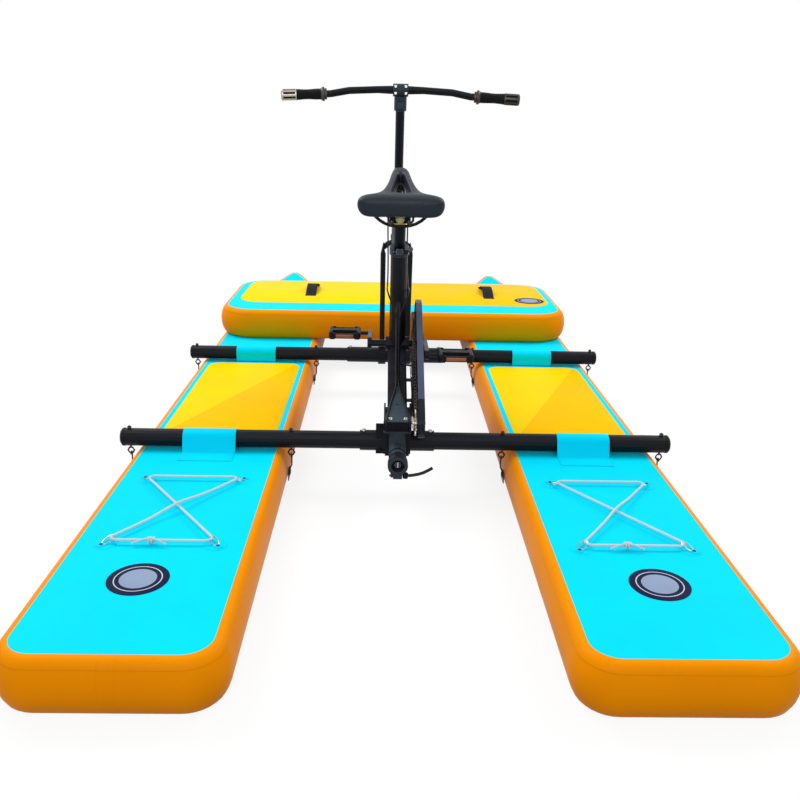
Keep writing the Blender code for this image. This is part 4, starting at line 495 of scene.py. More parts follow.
def smooth_route(points, per_leg):
    """Points along a smooth curve through the route's own points."""
    points = [Vector(point) for point in points]
    padded = [2 * points[0] - points[1], *points, 2 * points[-1] - points[-2]]
    route = []
    for index in range(1, len(padded) - 2):
        before, here, there, after = padded[index - 1 : index + 3]
        for step in range(per_leg):
            t = step / per_leg
            line = 2 * here + (there - before) * t
            line += (2 * before - 5 * here + 4 * there - after) * t**2
            line += (3 * here - before - 3 * there + after) * t**3
            route.append(line / 2)
    route.append(points[-1])
    return route


def filleted(corners, radius, steps=8):
    """A route through corners whose turns are rounded to a radius; the ends stay."""
    route = [Vector(corners[0])]
    for before, corner, after in zip(corners, corners[1:], corners[2:]):
        back = (Vector(before) - corner).normalized()
        ahead = (Vector(after) - corner).normalized()
        half = back.angle(ahead) / 2
        reach = radius / math.tan(half)
        centre = corner + (back + ahead).normalized() * (radius / math.sin(half))
        first = corner + back * reach - centre
        last = corner + ahead * reach - centre
        for step in range(steps + 1):
            arm = first.slerp(last, step / steps)
            route.append(centre + arm.normalized() * radius)
    route.append(Vector(corners[-1]))
    return route


def cord_curve(name, points, radius, material, resolution=4):
    """A round cord along a route, as a curve of one open spline that rides on the frame."""
    curve = bpy.data.curves.new(name, "CURVE")
    curve.dimensions = "3D"
    curve.bevel_depth = radius
    curve.bevel_resolution = resolution
    curve.use_fill_caps = True
    spline = curve.splines.new("POLY")
    spline.points.add(len(points) - 1)
    for target, point in zip(spline.points, points):
        target.co = (*point, 1.0)
    curve.materials.append(FINISHES[material])
    piece = new_object(name, curve)
    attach(piece, "frame")
    return piece


def wire_loop(shape, points, radius, material=0, closed=False):
    """Add a bent wire to the shape, swept along its points."""
    before = set(shape.faces)
    first, last = points[0], points[-1]
    padded = [last, *points, first] if closed else [first, *points, last]
    rings = []
    side = (padded[2] - padded[0]).orthogonal()
    for behind, point, ahead in zip(padded, padded[1:], padded[2:]):
        run = (ahead - behind).normalized()
        side = (side - run * side.dot(run)).normalized()
        place = Matrix.Translation(point) @ Matrix((side, run.cross(side), run)).transposed().to_4x4()
        made = bmesh.ops.create_circle(shape, segments=8, radius=radius, matrix=place)["verts"]
        rings.append(list(dict.fromkeys(edge for vert in made for edge in vert.link_edges)))
    followers = rings[1:] + rings[:1] if closed else rings[1:]
    for ring, follower in zip(rings, followers):
        bmesh.ops.bridge_loops(shape, edges=ring + follower)
    if not closed:
        for ring in (rings[0], rings[-1]):
            bmesh.ops.contextual_create(shape, geom=ring)
    bmesh.ops.recalc_face_normals(shape, faces=added_faces(shape, before, material))


def map_flat(shape, faces=None):
    """Give faces a map in metres, seen from above."""
    layer = shape.loops.layers.uv.verify()
    for face in faces or shape.faces:
        for loop in face.loops:
            loop[layer].uv = loop.vert.co.xy


def rounded_plate(low, high, corner, base, height, rim):
    """A flat plate with rounded corners and a soft rim, standing from base to base plus height."""
    shape = bmesh.new()
    corners = ((low[0], low[1]), (high[0], low[1]), (high[0], high[1]), (low[0], high[1]))
    verts = [shape.verts.new((x, y, base)) for x, y in corners]
    shape.faces.new(verts)
    bmesh.ops.bevel(
        shape, geom=verts, offset=corner, segments=10, affect="VERTICES", profile=0.5, material=-1
    )
    raised = bmesh.ops.extrude_face_region(shape, geom=list(shape.faces))["geom"]
    top = [item for item in raised if isinstance(item, bmesh.types.BMFace)]
    bmesh.ops.translate(shape, vec=(0, 0, height), verts=corners_of(top))
    bmesh.ops.inset_region(shape, faces=top, thickness=rim, depth=rim * 0.4)
    bmesh.ops.recalc_face_normals(shape, faces=shape.faces)
    return shape


# Floats


def wall_profile(settings):
    """The side wall from deck to bottom: outward reach, height and distance along, with taped edges."""
    tape = 0.0009
    steps = 22
    layers = []
    travelled = 0.0
    last = (0, settings.thickness)
    for step in range(1, steps + 1):
        angle = math.pi * step / steps
        reach = settings.bulge * math.sin(angle)
        height = settings.thickness / 2 * (1 + math.cos(angle))
        travelled += math.dist(last, (reach, height))
        last = (reach, height)
        covered = height > settings.thickness - settings.tape_width or height < settings.tape_width * 0.9
        layers.append((reach + (tape if covered and step < steps else 0.0), height, travelled))
    return layers


def rear_corner(rear, half, radius, steps):
    """Stations (place along, half width) round the rear corner of a plan outline."""
    stations = []
    for step in range(steps + 1):
        angle = math.pi / 2 * step / steps
        stations.append((rear + radius * (1 - math.cos(angle)), half - radius * (1 - math.sin(angle))))
    return stations


def both_halves(stations, centre=0.0):
    """A closed plan outline, anticlockwise from the rear right, from the stations of one half."""
    right = [(centre + width, y) for y, width in stations]
    left = [(centre - width, y) for y, width in reversed(stations)]
    return right + left


def long_float_outline(settings, side):
    """Plan points of a long float's seam."""
    half = settings.width / 2 - settings.bulge
    rear = REAR_END + settings.bulge
    front = FRONT_END - settings.bulge * 0.892
    shoulder = front - settings.nose_length
    stations = rear_corner(rear, half, 0.055, 8)
    stations.extend((rear + (shoulder - rear) * step / 6, half) for step in range(1, 6))
    steps = 18
    for step in range(steps + 1):
        share = math.sin(math.pi / 2 * step / steps)
        width = half * (1 - 0.97 * share**1.8) ** 0.85
        stations.append((front - settings.nose_length * (1 - share), width))
    return both_halves(stations, side * settings.spacing / 2)


def cross_float_outline(settings):
    """Plan points of the cross float's seam."""
    rear = CROSS_REAR + settings.bulge
    front = CROSS_FRONT - settings.bulge
    stations = rear_corner(rear, CROSS_WIDTH / 2 - settings.bulge, 0.12, 10)
    stations.extend([(front + rear - y, width) for y, width in reversed(stations)])
    return both_halves(stations)


def inflated_shell(settings, outline, base):
    """A drop-stitch float: flat deck and bottom, bulging taped wall with a map along it."""
    shape = bmesh.new()
    layer = shape.loops.layers.uv.verify()
    outline = [Vector(point) for point in outline[-1:] + outline[:-1]]
    spots = []
    travel = 0.0
    for before, here, after in zip(outline[-1:] + outline[:-1], outline, outline[1:] + outline[:1]):
        run = (after - before).normalized()
        travel += (here - before).length if spots else 0.0
        spots.append((here, Vector((run.y, -run.x)), travel))
    length = travel + (outline[0] - outline[-1]).length
    row = [shape.verts.new((*point, base + settings.thickness)) for point in outline]
    deck = shape.faces.new(row)
    deck.normal_update()
    edges = list(deck.edges)
    places = {vert: (spot[2], 0.0) for vert, spot in zip(row, spots)}
    walls = []
    for reach, height, down in wall_profile(settings):
        row, edges, faces = extruded_row(shape, row, edges)
        walls.extend(faces)
        for vert, (point, outward, travel) in zip(row, spots):
            vert.co = (*(point + outward * reach), base + height)
            places[vert] = (travel, down)
    for face in walls:
        face.material_index = 1
        along = [places[vert][0] for vert in face.verts]
        wraps = max(along) - min(along) > length / 2
        for loop in face.loops:
            travel, down = places[loop.vert]
            if wraps and travel < length / 2:
                travel += length
            loop[layer].uv = (travel, down)
    flats = [deck, *bmesh.ops.contextual_create(shape, geom=row)["faces"]]
    map_flat(shape, flats)
    for face in flats:
        bmesh.ops.inset_region(shape, faces=[face], thickness=0.012, depth=0.0, use_interpolate=True)
    bmesh.ops.recalc_face_normals(shape, faces=shape.faces)
    return shape


def lift_nose(shape, settings):
    """Cut the front end across and curve it up."""
    start = 1.2783
    reach = FRONT_END - start
    cuts = 14
    for step in range(cuts):
        cut_across(shape, (0, start + reach * step / cuts, 0), FORWARD, 1e-5)
    for vert in shape.verts:
        share = max(0.0, (vert.co.y - start) / reach)
        vert.co.z += settings.nose_rise * share**2


def make_floats(settings):
    """Both long floats and the cross float."""
    floats = []
    for name, side in SIDES:
        shape = inflated_shell(settings, long_float_outline(settings, side), 0.0)
        lift_nose(shape, settings)
        floats.append((f"float_{name}", shape, f"wall_skin_{name}"))
    shape = inflated_shell(settings, cross_float_outline(settings), CROSS_BASE)
    floats.append(("cross_float", shape, "wall_skin_right"))
    for node, shape, wall in floats:
        piece = add_piece(f"{node}_skin", shape, "frame", f"deck_skin {wall}", 40)
        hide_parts(node)


def split_painted_reflection(shape, point, normal):
    """Cut the shape along a slanting plane and give the far side the second colour; on the panels the near
    side keeps a painted reflection.
    """
    cut_across(shape, point, normal)
    for face in shape.faces:
        if (face.calc_center_median() - Vector(point)).dot(Vector(normal)) > 0:
            face.material_index = 1


def make_panels(settings):
    """The yellow panels that are welded onto the three decks, with a painted reflection on their lighter
    half.
    """
    panels = []
    for name, side in SIDES:
        x = side * settings.spacing / 2
        low, high = (x - 0.170, -0.632), (x + 0.170, 0.176)
        panels.append((f"deck_panel_{name}", low, high, 0.045, (x, -0.19, DECK), (0.92, -0.40, 0)))
    low, high = (-0.680, CROSS_REAR + 0.172), (0.692, CROSS_FRONT - 0.042)
    top = CROSS_BASE + settings.thickness
    panels.append(("cross_float_panel", low, high, 0.10, (0.02, 0.9, top), (1.0, -0.25, 0)))
    bevel = 0.0016
    for name, low, high, corner, split, slant in panels:
        shape = rounded_plate(low, high, corner, split[2], PANEL_THICKNESS, bevel)
        split_painted_reflection(shape, split, slant)
        map_flat(shape)
        add_piece(name, shape, "frame", "panel_skin panel_skin_deep", 25)


def make_badges(settings):
    """Plain ring badges: a dark disc with a pale ring and a paler middle, and nothing on them."""
    radius = settings.badge_width / 2
    places = [(f"deck_badge_{name}", (side * 0.536, -1.396, DECK), radius) for name, side in SIDES]
    top = CROSS_BASE + settings.thickness + PANEL_THICKNESS
    places.append(("cross_float_badge", (0.612, 0.825, top), radius * 1.05))
    rim = ((0, 0), (1.0, 0), (1.0, 0.0007), (0.985, 0.0010), (0.80, 0.0010))
    line = ((0.78, 0.0013), (0.745, 0.0013), (0.725, 0.0010))
    middle = ((0.62, 0.0010), (0.60, 0.0013), (0, 0.0013))
    raised_from = 0.00125
    for name, spot, size in places:
        shape = bmesh.new()
        spun(shape, [(share * size, height) for share, height in (*rim, *line, *middle)], spot, UP, 64)
        for face in shape.faces:
            face_centre = face.calc_center_median()
            away = (face_centre.xy - Vector(spot).xy).length / size
            raised = face_centre.z > spot[2] + raised_from
            face.material_index = (1 if away > 0.65 else 2) if raised else 0
        map_flat(shape)
        add_piece(name, shape, "frame", "badge_dark badge_line badge_middle", 30)


def make_valves(settings):
    """Inflation valves: a welded flange, a ribbed collar and a screw cap with grip bars."""
    half = settings.spacing / 2
    places = [(f"valve_{name}", (side * half, 1.252, DECK + SEAT_GAP), UP) for name, side in SIDES]
    places.append(("cross_float_valve", (-0.45, CROSS_FRONT + SEAT_GAP, 0.1803), FORWARD))
    flange = ((0, 0), (0.026, 0), (0.0258, 0.0012), (0.0235, 0.0022), (0.0175, 0.0026), (0, 0.0026))
    collar = ((0, 0.002), (0.0162, 0.002), (0.0162, 0.0048), (0.0150, 0.0058))
    cap = (*collar, (0.0132, 0.0058), (0.0126, 0.0050), (0, 0.0050))
    ribs = 16
    for node, foot, axis in places:
        shape = bmesh.new()
        spun(shape, flange, foot, axis, 40)
        spun(shape, cap, foot, axis, 40, 1)
        place = axis_place(foot, axis)
        facing = place.to_3x3().to_4x4()
        for index in range(ribs):
            turn = Matrix.Rotation(math.tau * index / ribs, 4, "Z")
            rib = place @ turn @ Vector((0.0165, 0, 0.0036))
            bevelled_box(shape, rib, (0.0014, 0.0022, 0.0030), facing @ turn, 0.0003, 1, 1)
        bevelled_box(shape, place @ Vector((0, 0, 0.0055)), (0.020, 0.0042, 0.0022), facing, 0.0007, 2, 1)
        piece = add_piece(f"{node}_fitting", shape, "frame", "dark_plastic dark_plastic", 30)
        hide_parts(node)


# Straps, cords and handles


def band_shape(route, width, x):
    """A strip of fabric along a route in Y and Z, with a map along its length; also returns that length."""
    shape = bmesh.new()
    layer = shape.loops.layers.uv.verify()
    row = [shape.verts.new((x - width / 2, y, z)) for y, z in route]
    edges = [shape.edges.new(pair) for pair in zip(row, row[1:])]
    travel = [0.0]
    for before, after in zip(route, route[1:]):
        travel.append(travel[-1] + math.dist(before, after))
    along = dict(zip(row, travel))
    columns = 6
    for column in range(columns):
        row, edges = extruded_row(shape, row, edges)[:2]
        bmesh.ops.translate(shape, vec=(width / columns, 0, 0), verts=row)
        along.update(zip(row, travel))
    bmesh.ops.recalc_face_normals(shape, faces=shape.faces)
    if sum(face.normal.z for face in shape.faces) < 0:
        bmesh.ops.reverse_faces(shape, faces=shape.faces)
    for face in shape.faces:
        for loop in face.loops:
            loop[layer].uv = (loop.vert.co.x - x, along[loop.vert])
    return shape, travel[-1]


def give_thickness(piece, thickness, bevel):
    """Give a strip its thickness, half to each side, and soften its edges."""
    skin = piece.modifiers.new("Thickness", "SOLIDIFY")
    skin.thickness = thickness
    skin.offset = 0.0
    skin.use_even_offset = True
    soften = piece.modifiers.new("Soft edges", "BEVEL")
    soften.width = bevel
    soften.segments = 2
    soften.limit_method = "ANGLE"
    soften.angle_limit = math.radians(50)


def strap_route(fittings, row, y):
    """The strap's way over a tube: one flap on the deck, the end on the panel's side tucked under."""
    half = STRAP_THICKNESS / 2
    low = DECK + SEAT_GAP + half
    slope = math.radians(20)
    reach = TUBE_RADIUS + SEAT_GAP + half
    drop = TUBE_HEIGHT - low
    foot = (reach + drop * math.sin(slope)) / math.cos(slope)
    curl = 0.006
    points = [(0.004, low), (reach - 0.010, low), (reach - 0.004, low + 0.0012), (reach, low + 0.006)]
    steps = 24
    for step in range(steps + 1):
        angle = (math.pi - slope) * step / steps
        points.append((reach * math.cos(angle), TUBE_HEIGHT + reach * math.sin(angle)))
    points.append((-foot + curl * 0.45, low + curl * 0.95))
    points.append((-foot - curl * 0.35, low + curl * 0.10))
    points.extend([(-foot - curl, low), (-foot - 0.03, low), (-foot - fittings.strap_flap, low)])
    if row == "front":
        return [(y - dy, z) for dy, z in points]
    return [(y + dy, z) for dy, z in reversed(points)]


def make_straps(floats, fittings):
    """Four coated-fabric straps that hold the tubes down on the decks."""
    for row, y in TUBE_PLACES:
        for name, side in SIDES:
            route = strap_route(fittings, row, y)
            shape, length = band_shape(route, fittings.strap_width, side * floats.spacing / 2)
            piece = add_piece(f"{row}_strap_{name}_band", shape, "frame", "strap_skin", 50)
            give_thickness(piece, STRAP_THICKNESS, 0.0004)
            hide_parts(f"{row}_strap_{name}")


def handle_route():
    """The webbing handle's way: flat, arched, flat again."""
    low = CROSS_BASE + DECK + SEAT_GAP + 0.0015
    start = CROSS_REAR + 0.355
    flat = 0.035
    span = 0.27 - 2 * flat
    points = [(start - flat, low), (start - flat * 0.5, low), (start - 0.004, low)]
    steps = 18
    for step in range(steps + 1):
        share = step / steps
        points.append((start + span * share, low + 0.026 * math.sin(math.pi * share) ** 0.9))
    end = start + span
    points.extend([(end + 0.004, low), (end + flat * 0.5, low), (end + flat, low)])
    return points


def sew_box(shape, left, right, near, far, height):
    """Add a box of stitches with a cross through it."""
    ring = [(left, near), (right, near), (right, far), (left, far), (left, near)]
    for begin, end in (*zip(ring, ring[1:]), (ring[0], ring[2]), (ring[1], ring[3])):
        run = Vector(end) - Vector(begin)
        count = max(2, int(run.length / 0.0042))
        turn = Matrix.Rotation(math.atan2(run.y, run.x), 4, "Z")
        for index in range(count):
            spot = Vector(begin) + run * (index + 0.5) / count
            bevelled_box(shape, (*spot, height), (0.0028, 0.0009, 0.0008), turn, 0.0002, 1)


def make_handles(fittings):
    """Two woven handles with sewn ends."""
    route = handle_route()
    wide = fittings.handle_width / 2 - 0.006
    seam = route[0][1] + HANDLE_THICKNESS / 2
    for name, x in (("left", -0.375), ("right", 0.435)):
        shape, length = band_shape(route, fittings.handle_width, x)
        piece = add_piece(f"handle_{name}_webbing", shape, "frame", "webbing", 50)
        give_thickness(piece, HANDLE_THICKNESS, 0.0006)
        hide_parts(f"handle_{name}")
        thread = bmesh.new()
        for foot, way in ((route[0][0], 1), (route[-1][0], -1)):
            sew_box(thread, x - wide, x + wide, foot + way * 0.005, foot + way * 0.029, seam)
        sewing = add_piece(f"handle_{name}_stitching", thread, "frame", "thread", 40)


def bungee_corners(side, floats):
    """The cord's four turning points, on the deck behind the rear tube: front two, then rear two."""
    centre = side * floats.spacing / 2
    low = DECK + SEAT_GAP + 0.0105
    half = 0.122
    return [Vector((centre + x * half, y, low)) for y in (-0.905, -1.25) for x in (-1, 1)]


def bungee_points(corners, knot):
    """The cord's way from its knot through the four corners and back, lifted where it crosses itself."""
    front_left, front_right, rear_left, rear_right = corners
    turns = [knot - RIGHT * 0.005, rear_left, front_right, front_left, rear_right, knot + RIGHT * 0.005]
    route = filleted(turns, 0.0125)
    crossing = (front_left + rear_right) / 2
    dense = []
    for before, after in zip(route, route[1:]):
        count = max(1, int((after - before).length / 0.02))
        dense.extend(before.lerp(after, step / count) for step in range(count))
    dense.append(route[-1])
    for point in dense[: len(dense) // 2]:
        point.z += 0.0085 * math.exp(-(((point - crossing).xy.length / 0.06) ** 2))
    return dense


def bungee_anchor(shape, corner, middle):
    """Add one anchor: a welded disc, a tab with a rivet, and a wire loop that points to the middle."""
    foot = Vector((corner.x, corner.y, DECK))
    inward = Vector((*(middle - corner).xy, 0)).normalized()
    across = Vector((-inward.y, inward.x, 0))
    tab = foot - inward * 0.010 + UP * 0.0022
    turn = Matrix.Rotation(math.atan2(inward.y, inward.x), 4, "Z")
    spun(shape, ((0, 0), (0.026, 0), (0.0256, 0.0008), (0.0240, 0.0013), (0, 0.0013)), foot, UP, 40)
    bevelled_box(shape, tab, (0.020, 0.016, 0.0022), turn, 0.0008)
    spun(shape, ((0, 0), (0.0045, 0), (0.0036, 0.0022), (0, 0.0026)), tab + UP * 0.0008, UP, 16, 2)
    loop = []
    steps = 22
    for step in range(steps):
        angle = math.tau * step / steps
        reach = 0.0085 + 0.0150 * math.cos(angle)
        lift = 0.0068 + 0.0052 * math.cos(angle)
        loop.append(foot + inward * reach + across * 0.0085 * math.sin(angle) + UP * lift)
    wire_loop(shape, loop, 0.0012, 1, closed=True)


def bungee_knot(knot, radius):
    """A coil wound round the cord's two ends, with their short tails."""
    shape = bmesh.new()
    coil = []
    steps = 40
    for step in range(steps):
        angle = math.tau * step / 16
        along = -0.007 + 0.014 * step / (steps - 1)
        coil.append(knot + Vector((along, 0.0062 * math.cos(angle), 0.0062 * math.sin(angle))))
    wire_loop(shape, coil, radius * 0.8)
    for reach, bend in ((-0.040, -0.010), (0.034, -0.012)):
        tail = []
        for share in (0, 0.3, 0.6, 0.85, 1):
            tail.append(knot + Vector((reach * share, bend * share**0.6, 0.0056 - 0.0085 * share**2)))
        wire_loop(shape, smooth_route(tail, 4), radius * 0.72)
    return shape


def make_bungees(floats, fittings):
    """One elastic cord on each rear deck, crossed between four anchors and knotted on its rear run."""
    radius = fittings.cord_width / 2
    for name, side in SIDES:
        corners = bungee_corners(side, floats)
        knot = corners[2].lerp(corners[3], 0.42)
        points = bungee_points(corners, knot)
        cord = cord_curve(f"bungee_{name}_cord", points, radius, "elastic_cord", 5)
        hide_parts(f"bungee_{name}")
        anchors = bmesh.new()
        for corner in corners:
            bungee_anchor(anchors, corner, (corners[0] + corners[3]) / 2)
        materials = "deck_patch bright_metal dark_metal"
        add_piece(f"bungee_{name}_anchors", anchors, "frame", materials, 35)
        tie = bungee_knot(knot, radius)
        knot_piece = add_piece(f"bungee_{name}_knot", tie, "frame", "elastic_cord", 60)


def steering_cable_route(side):
    """One steering cable's points from the post's drum, along the frame, round to the yoke's end."""
    run = (
        (0.0318, 0.0320, 0.7349),
        (0.0335, -0.0220, 0.7049),
        (0.0310, -0.1400, 0.5650),
        (0.0325, -0.3000, 0.5200),
        (0.0335, -0.3650, 0.5250),
        (0.0325, -0.4020, 0.5240),
        (0.0270, -0.4270, 0.5110),
        (0.0175, -0.4420, 0.4900),
        (0.0080, -0.4500, 0.4660),
        (0.0032, -0.4615, 0.4390),
        (0.0027, -0.5066, 0.3645),
        (0.0027, -0.5390, 0.3130),
        (0.0030, -0.5600, 0.2905),
        (0.0050, -0.5880, 0.2787),
        (0.0100, -0.6200, 0.2710),
        (0.0212, -0.7000, 0.2617),
        (0.0262, -0.7450, 0.2568),
    )
    turn = [Vector(run[-1]), Vector((0.0318, -0.7954, 0.2513)), Vector((0.0318, -0.7954, 0.2116))]
    turn.append(Vector((0.0310, -0.7652, 0.2122)))
    route = smooth_route(run, 5) + filleted(turn, 0.0200, 10)[1:]
    return [Vector((x * side, y, z)) for x, y, z in route]


def make_steering_cables():
    """Two sheathed cables from the handlebar post's drum to the yoke."""
    width = 0.0048
    for name, side in SIDES:
        route = steering_cable_route(side)
        cable = cord_curve(f"steering_cable_{name}", route, width / 2, "cable_sheath")
        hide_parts("steering_cables")


# Saddle and grips


def seat_point(distance):
    """A point on the seat tube's line, above the crank axis."""
    return CRANK_AXIS + SEAT_LEAN * distance


def steering_point(distance):
    """A point on the steering line, above the front tube."""
    return Vector((0, FRONT_TUBE, TUBE_HEIGHT)) + STEERING_LEAN * distance


def saddle_place(fittings, share, x, height):
    """A point of the saddle: share of its length from the rear, offset to the right, height over rails."""
    run = Vector((0, math.cos(SADDLE_TILT), math.sin(SADDLE_TILT)))
    rise = Vector((0, -run.z, run.y))
    rear = seat_point(SADDLE_DISTANCE) - run * fittings.saddle_length * 0.47
    return rear + run * fittings.saddle_length * share + rise * height + RIGHT * x


def saddle_sections():
    """Rings along the saddle: share, half width, underside, top, and half the channel's width."""
    return (
        (0.000, 0.60, 0.050, 0.080, 0.014),
        (0.014, 0.88, 0.042, 0.090, 0.015),
        (0.045, 1.00, 0.039, 0.097, 0.017),
        (0.090, 1.02, 0.039, 0.100, 0.020),
        (0.135, 0.96, 0.040, 0.100, 0.023),
        (0.180, 0.76, 0.043, 0.098, 0.026),
        (0.240, 0.57, 0.046, 0.097, 0.0270),
        (0.310, 0.460, 0.049, 0.097, 0.0260),
        (0.400, 0.385, 0.053, 0.099, 0.0235),
        (0.500, 0.330, 0.056, 0.101, 0.0195),
        (0.600, 0.290, 0.058, 0.103, 0.0155),
        (0.700, 0.260, 0.059, 0.105, 0.0115),
        (0.790, 0.235, 0.061, 0.107, 0.0080),
        (0.870, 0.205, 0.063, 0.108, 0.0055),
        (0.940, 0.165, 0.067, 0.108, 0.0042),
        (0.980, 0.120, 0.072, 0.106, 0.0034),
        (1.000, 0.065, 0.078, 0.102, 0.0030),
    )


def saddle_ring(fittings, share, width, low, high, channel):
    """One cross-section of the saddle, from the channel's lower edge round to its upper one and back."""
    wide = fittings.saddle_width / 2 * width
    middle = (low + high) / 2
    hole = min(channel * 0.62, wide * 0.36)
    lip = min(channel, wide * 0.60)
    half = (
        (hole, low + 0.004),
        (wide * 0.55, low + 0.001),
        (wide * 0.90, low + 0.002),
        (wide * 1.01, middle - 0.006),
        (wide * 1.00, middle + 0.015),
        (wide * 0.92, high - 0.003),
        ((wide * 0.62 + lip) / 2 + 0.001, high),
        (lip, high - 0.001),
    )
    right = [saddle_place(fittings, share, x, z) for x, z in half]
    left = [saddle_place(fittings, share, -x, z) for x, z in reversed(half)]
    return right + left


def saddle_hull(fittings):
    """The saddle's closed hull, lofted from the rear to the tip; returns the shape and its rows."""
    shape = bmesh.new()
    sections = [saddle_ring(fittings, *section) for section in saddle_sections()]
    row = [shape.verts.new(point) for point in sections[0]]
    edges = list(shape.faces.new(row).edges)
    rows = [row]
    for section in sections[1:]:
        row, edges = extruded_row(shape, row, edges)[:2]
        for vert, point in zip(row, section):
            vert.co = point
        rows.append(row)
    shape.faces.new(row)
    return shape, rows


def open_channel(shape, rows):
    """Cut the saddle's through channel and line it; returns the edges of its two rims."""
    shares = [section[0] for section in saddle_sections()]
    open_rows = [row for row, share in zip(rows, shares) if 0.20 < share < 0.80]
    removed = []
    rims = []
    for left, right in ((7, 8), (15, 0)):
        strip = []
        for first, second in zip(open_rows, open_rows[1:]):
            corners = {first[left], first[right], second[left], second[right]}
            strip.append(next(face for face in first[left].link_faces if set(face.verts) == corners))
        around = [edge for face in strip for edge in face.edges]
        rims.extend(edge for edge in around if around.count(edge) == 1)
        removed.extend(strip)
    bmesh.ops.delete(shape, geom=removed, context="FACES")
    bmesh.ops.bridge_loops(shape, edges=rims)
    bmesh.ops.recalc_face_normals(shape, faces=shape.faces)
    return rims


def make_saddle(fittings):
    """The padded saddle's cover: a lofted hull with a through channel and soft creases."""
    shape, rows = saddle_hull(fittings)
    rims = open_channel(shape, rows)
    crease = shape.edges.layers.float.new("crease_edge")
    for edge in rims:
        if edge.is_valid:
            edge[crease] = 0.35
    for column in (2, 13):
        line = [row[column] for row in rows]
        for vert in line[2:-2]:
            for edge in vert.link_edges:
                if edge.other_vert(vert) in line:
                    edge[crease] = 0.15
    piece = add_piece("saddle_cover", shape, "seat", "saddle_cover", 60)
    round_off = piece.modifiers.new("Round", "SUBSURF")
    round_off.levels = 3
    round_off.render_levels = 3
    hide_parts("saddle")


def make_saddle_trim(fittings):
    """The welts along both sides of the saddle and the sockets under it that hold its rails."""
    welts = bmesh.new()
    sockets = bmesh.new()
    profile = ((0, 0), (0.0085, 0), (0.0095, 0.003), (0.0095, 0.012), (0, 0.014))
    for side in (-1, 1):
        line = []
        for share, width, low, high, _ in saddle_sections()[1:-1]:
            wide = fittings.saddle_width / 2 * width * 0.965
            line.append(saddle_place(fittings, share, side * wide, (low + high) / 2 + 0.013))
        wire_loop(welts, smooth_route(line, 4), 0.0009)
        for share, x, height in ((0.12, 0.034, 0.036), (0.28, 0.072, 0.036), (0.90, 0.010, 0.050)):
            foot = saddle_place(fittings, share, side * x, height)
            spun(sockets, profile, foot, saddle_place(fittings, share, side * x, 0.06) - foot, 20)
    add_piece("saddle_welts", welts, "seat", "saddle_trim", 60)
    add_piece("saddle_sockets", sockets, "seat", "dark_plastic", 40)


def bar_end(side):
    """The handlebar's end and the way it points there."""
    centre = steering_point(STEM_DISTANCE)
    end = centre + Vector((side * 0.36, -0.03, -0.022))
    before = centre + Vector((side * 0.61 * 0.36, -0.03 * 0.66, -0.022 * 0.72))
    return end, (end - before).normalized()


def grip_profile(inner, outer, length):
    """A ribbed grip with a flared flange at its inner end, as radius and distance from the bar's end."""
    profile = [(inner, -length), (outer, -length), (outer, -length + 0.006)]
    for swell, step in ((1.26, 0.008), (1.30, 0.011), (1.24, 0.014), (1.02, 0.018)):
        profile.append((outer * swell, -length + step))
    ribs = 13
    begin = -length + 0.024
    pitch = (CAP_START - begin) / ribs
    for index in range(ribs):
        radius = outer * (0.94 + 0.05 * math.cos(math.tau * index / ribs))
        for swell, share in ((0.955, 0.08), (1.0, 0.28), (1.0, 0.80), (0.955, 0.96)):
            profile.append((radius * swell, begin + pitch * (index + share)))
    profile.extend([(outer * 0.98, CAP_START + 0.002), (inner, CAP_START + 0.002), (inner, -length)])
    return profile


def bar_cap(inner, outer, end, outward):
    """A metal cap over the bar's end, with a row of windows sunk round it."""
    shape = bmesh.new()
    side = ((1.03, CAP_START), (1.05, CAP_START + 0.002), (1.05, 0.006), (1.00, 0.0095))
    front = ((0.80, 0.012), (0.55, 0.012), (0.50, 0.0095), (0, 0.0095))
    shell = [(0, 0.004), (inner, 0.004), (inner, CAP_START)]
    shell.extend((outer * share, along) for share, along in (*side, *front))
    windows = []
    for face in spun(shape, shell, end, outward, 24):
        if face.calc_area() > 1.5e-4 and abs(face.normal.dot(outward)) < 0.2:
            windows.append(face)
    windows = [face for index, face in enumerate(windows) if index % 3 != 2]
    bmesh.ops.inset_region(shape, faces=windows, thickness=0.0016, depth=0.0)
    bmesh.ops.inset_region(shape, faces=windows, thickness=0.0004, depth=-0.0018)
    for face in windows:
        face.material_index = 1
    return shape


def make_grips(fittings):
    """Ribbed grips with a flared inner flange, and metal end caps with windows."""
    inner = BAR_RADIUS + SEAT_GAP
    outer = inner + 0.0052
    length = fittings.grip_length
    for name, side in SIDES:
        end, outward = bar_end(side)
        shape = bmesh.new()
        for face in spun(shape, grip_profile(inner, outer, length), end, outward, 40):
            if (face.calc_center_median() - end).dot(outward) < -length + 0.0165:
                face.material_index = 1
        materials = "grip_rubber dark_metal"
        grip = add_piece(f"grip_{name}_rubber", shape, "steering", materials, 40)
        materials = f"{'bright' if side < 0 else 'dark'}_metal grip_rubber"
        shape = bar_cap(inner, outer, end, outward)
        cap = add_piece(f"bar_cap_{name}", shape, "steering", materials, 30)
        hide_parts(f"grip_{name}")
        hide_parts(f"grip_{name}")


# Small fittings


def make_collars():
    """A brass collar under the saddle, and the bright blade in the tail's coupling."""
    collar = bmesh.new()
    foot = ((0.0, 0), (0.0195, 0), (0.0205, 0.002))
    head = ((0.0205, 0.024), (0.0190, 0.026), (0.0190, 0.040), (0, 0.040))
    spun(collar, (*foot, *head), seat_point(SADDLE_DISTANCE - 0.0135), SEAT_LEAN, 28)
    add_piece("seat_post_collar", collar, "seat", "brass", 30)
    blade = bmesh.new()
    bevelled_box(blade, TAIL_END + FORWARD * 0.0098, (0.0030, 0.0024, 0.0150), None, 0.0006)
    add_piece("tail_coupling_blade", blade, "tail_shaft", "bright_metal", 30)


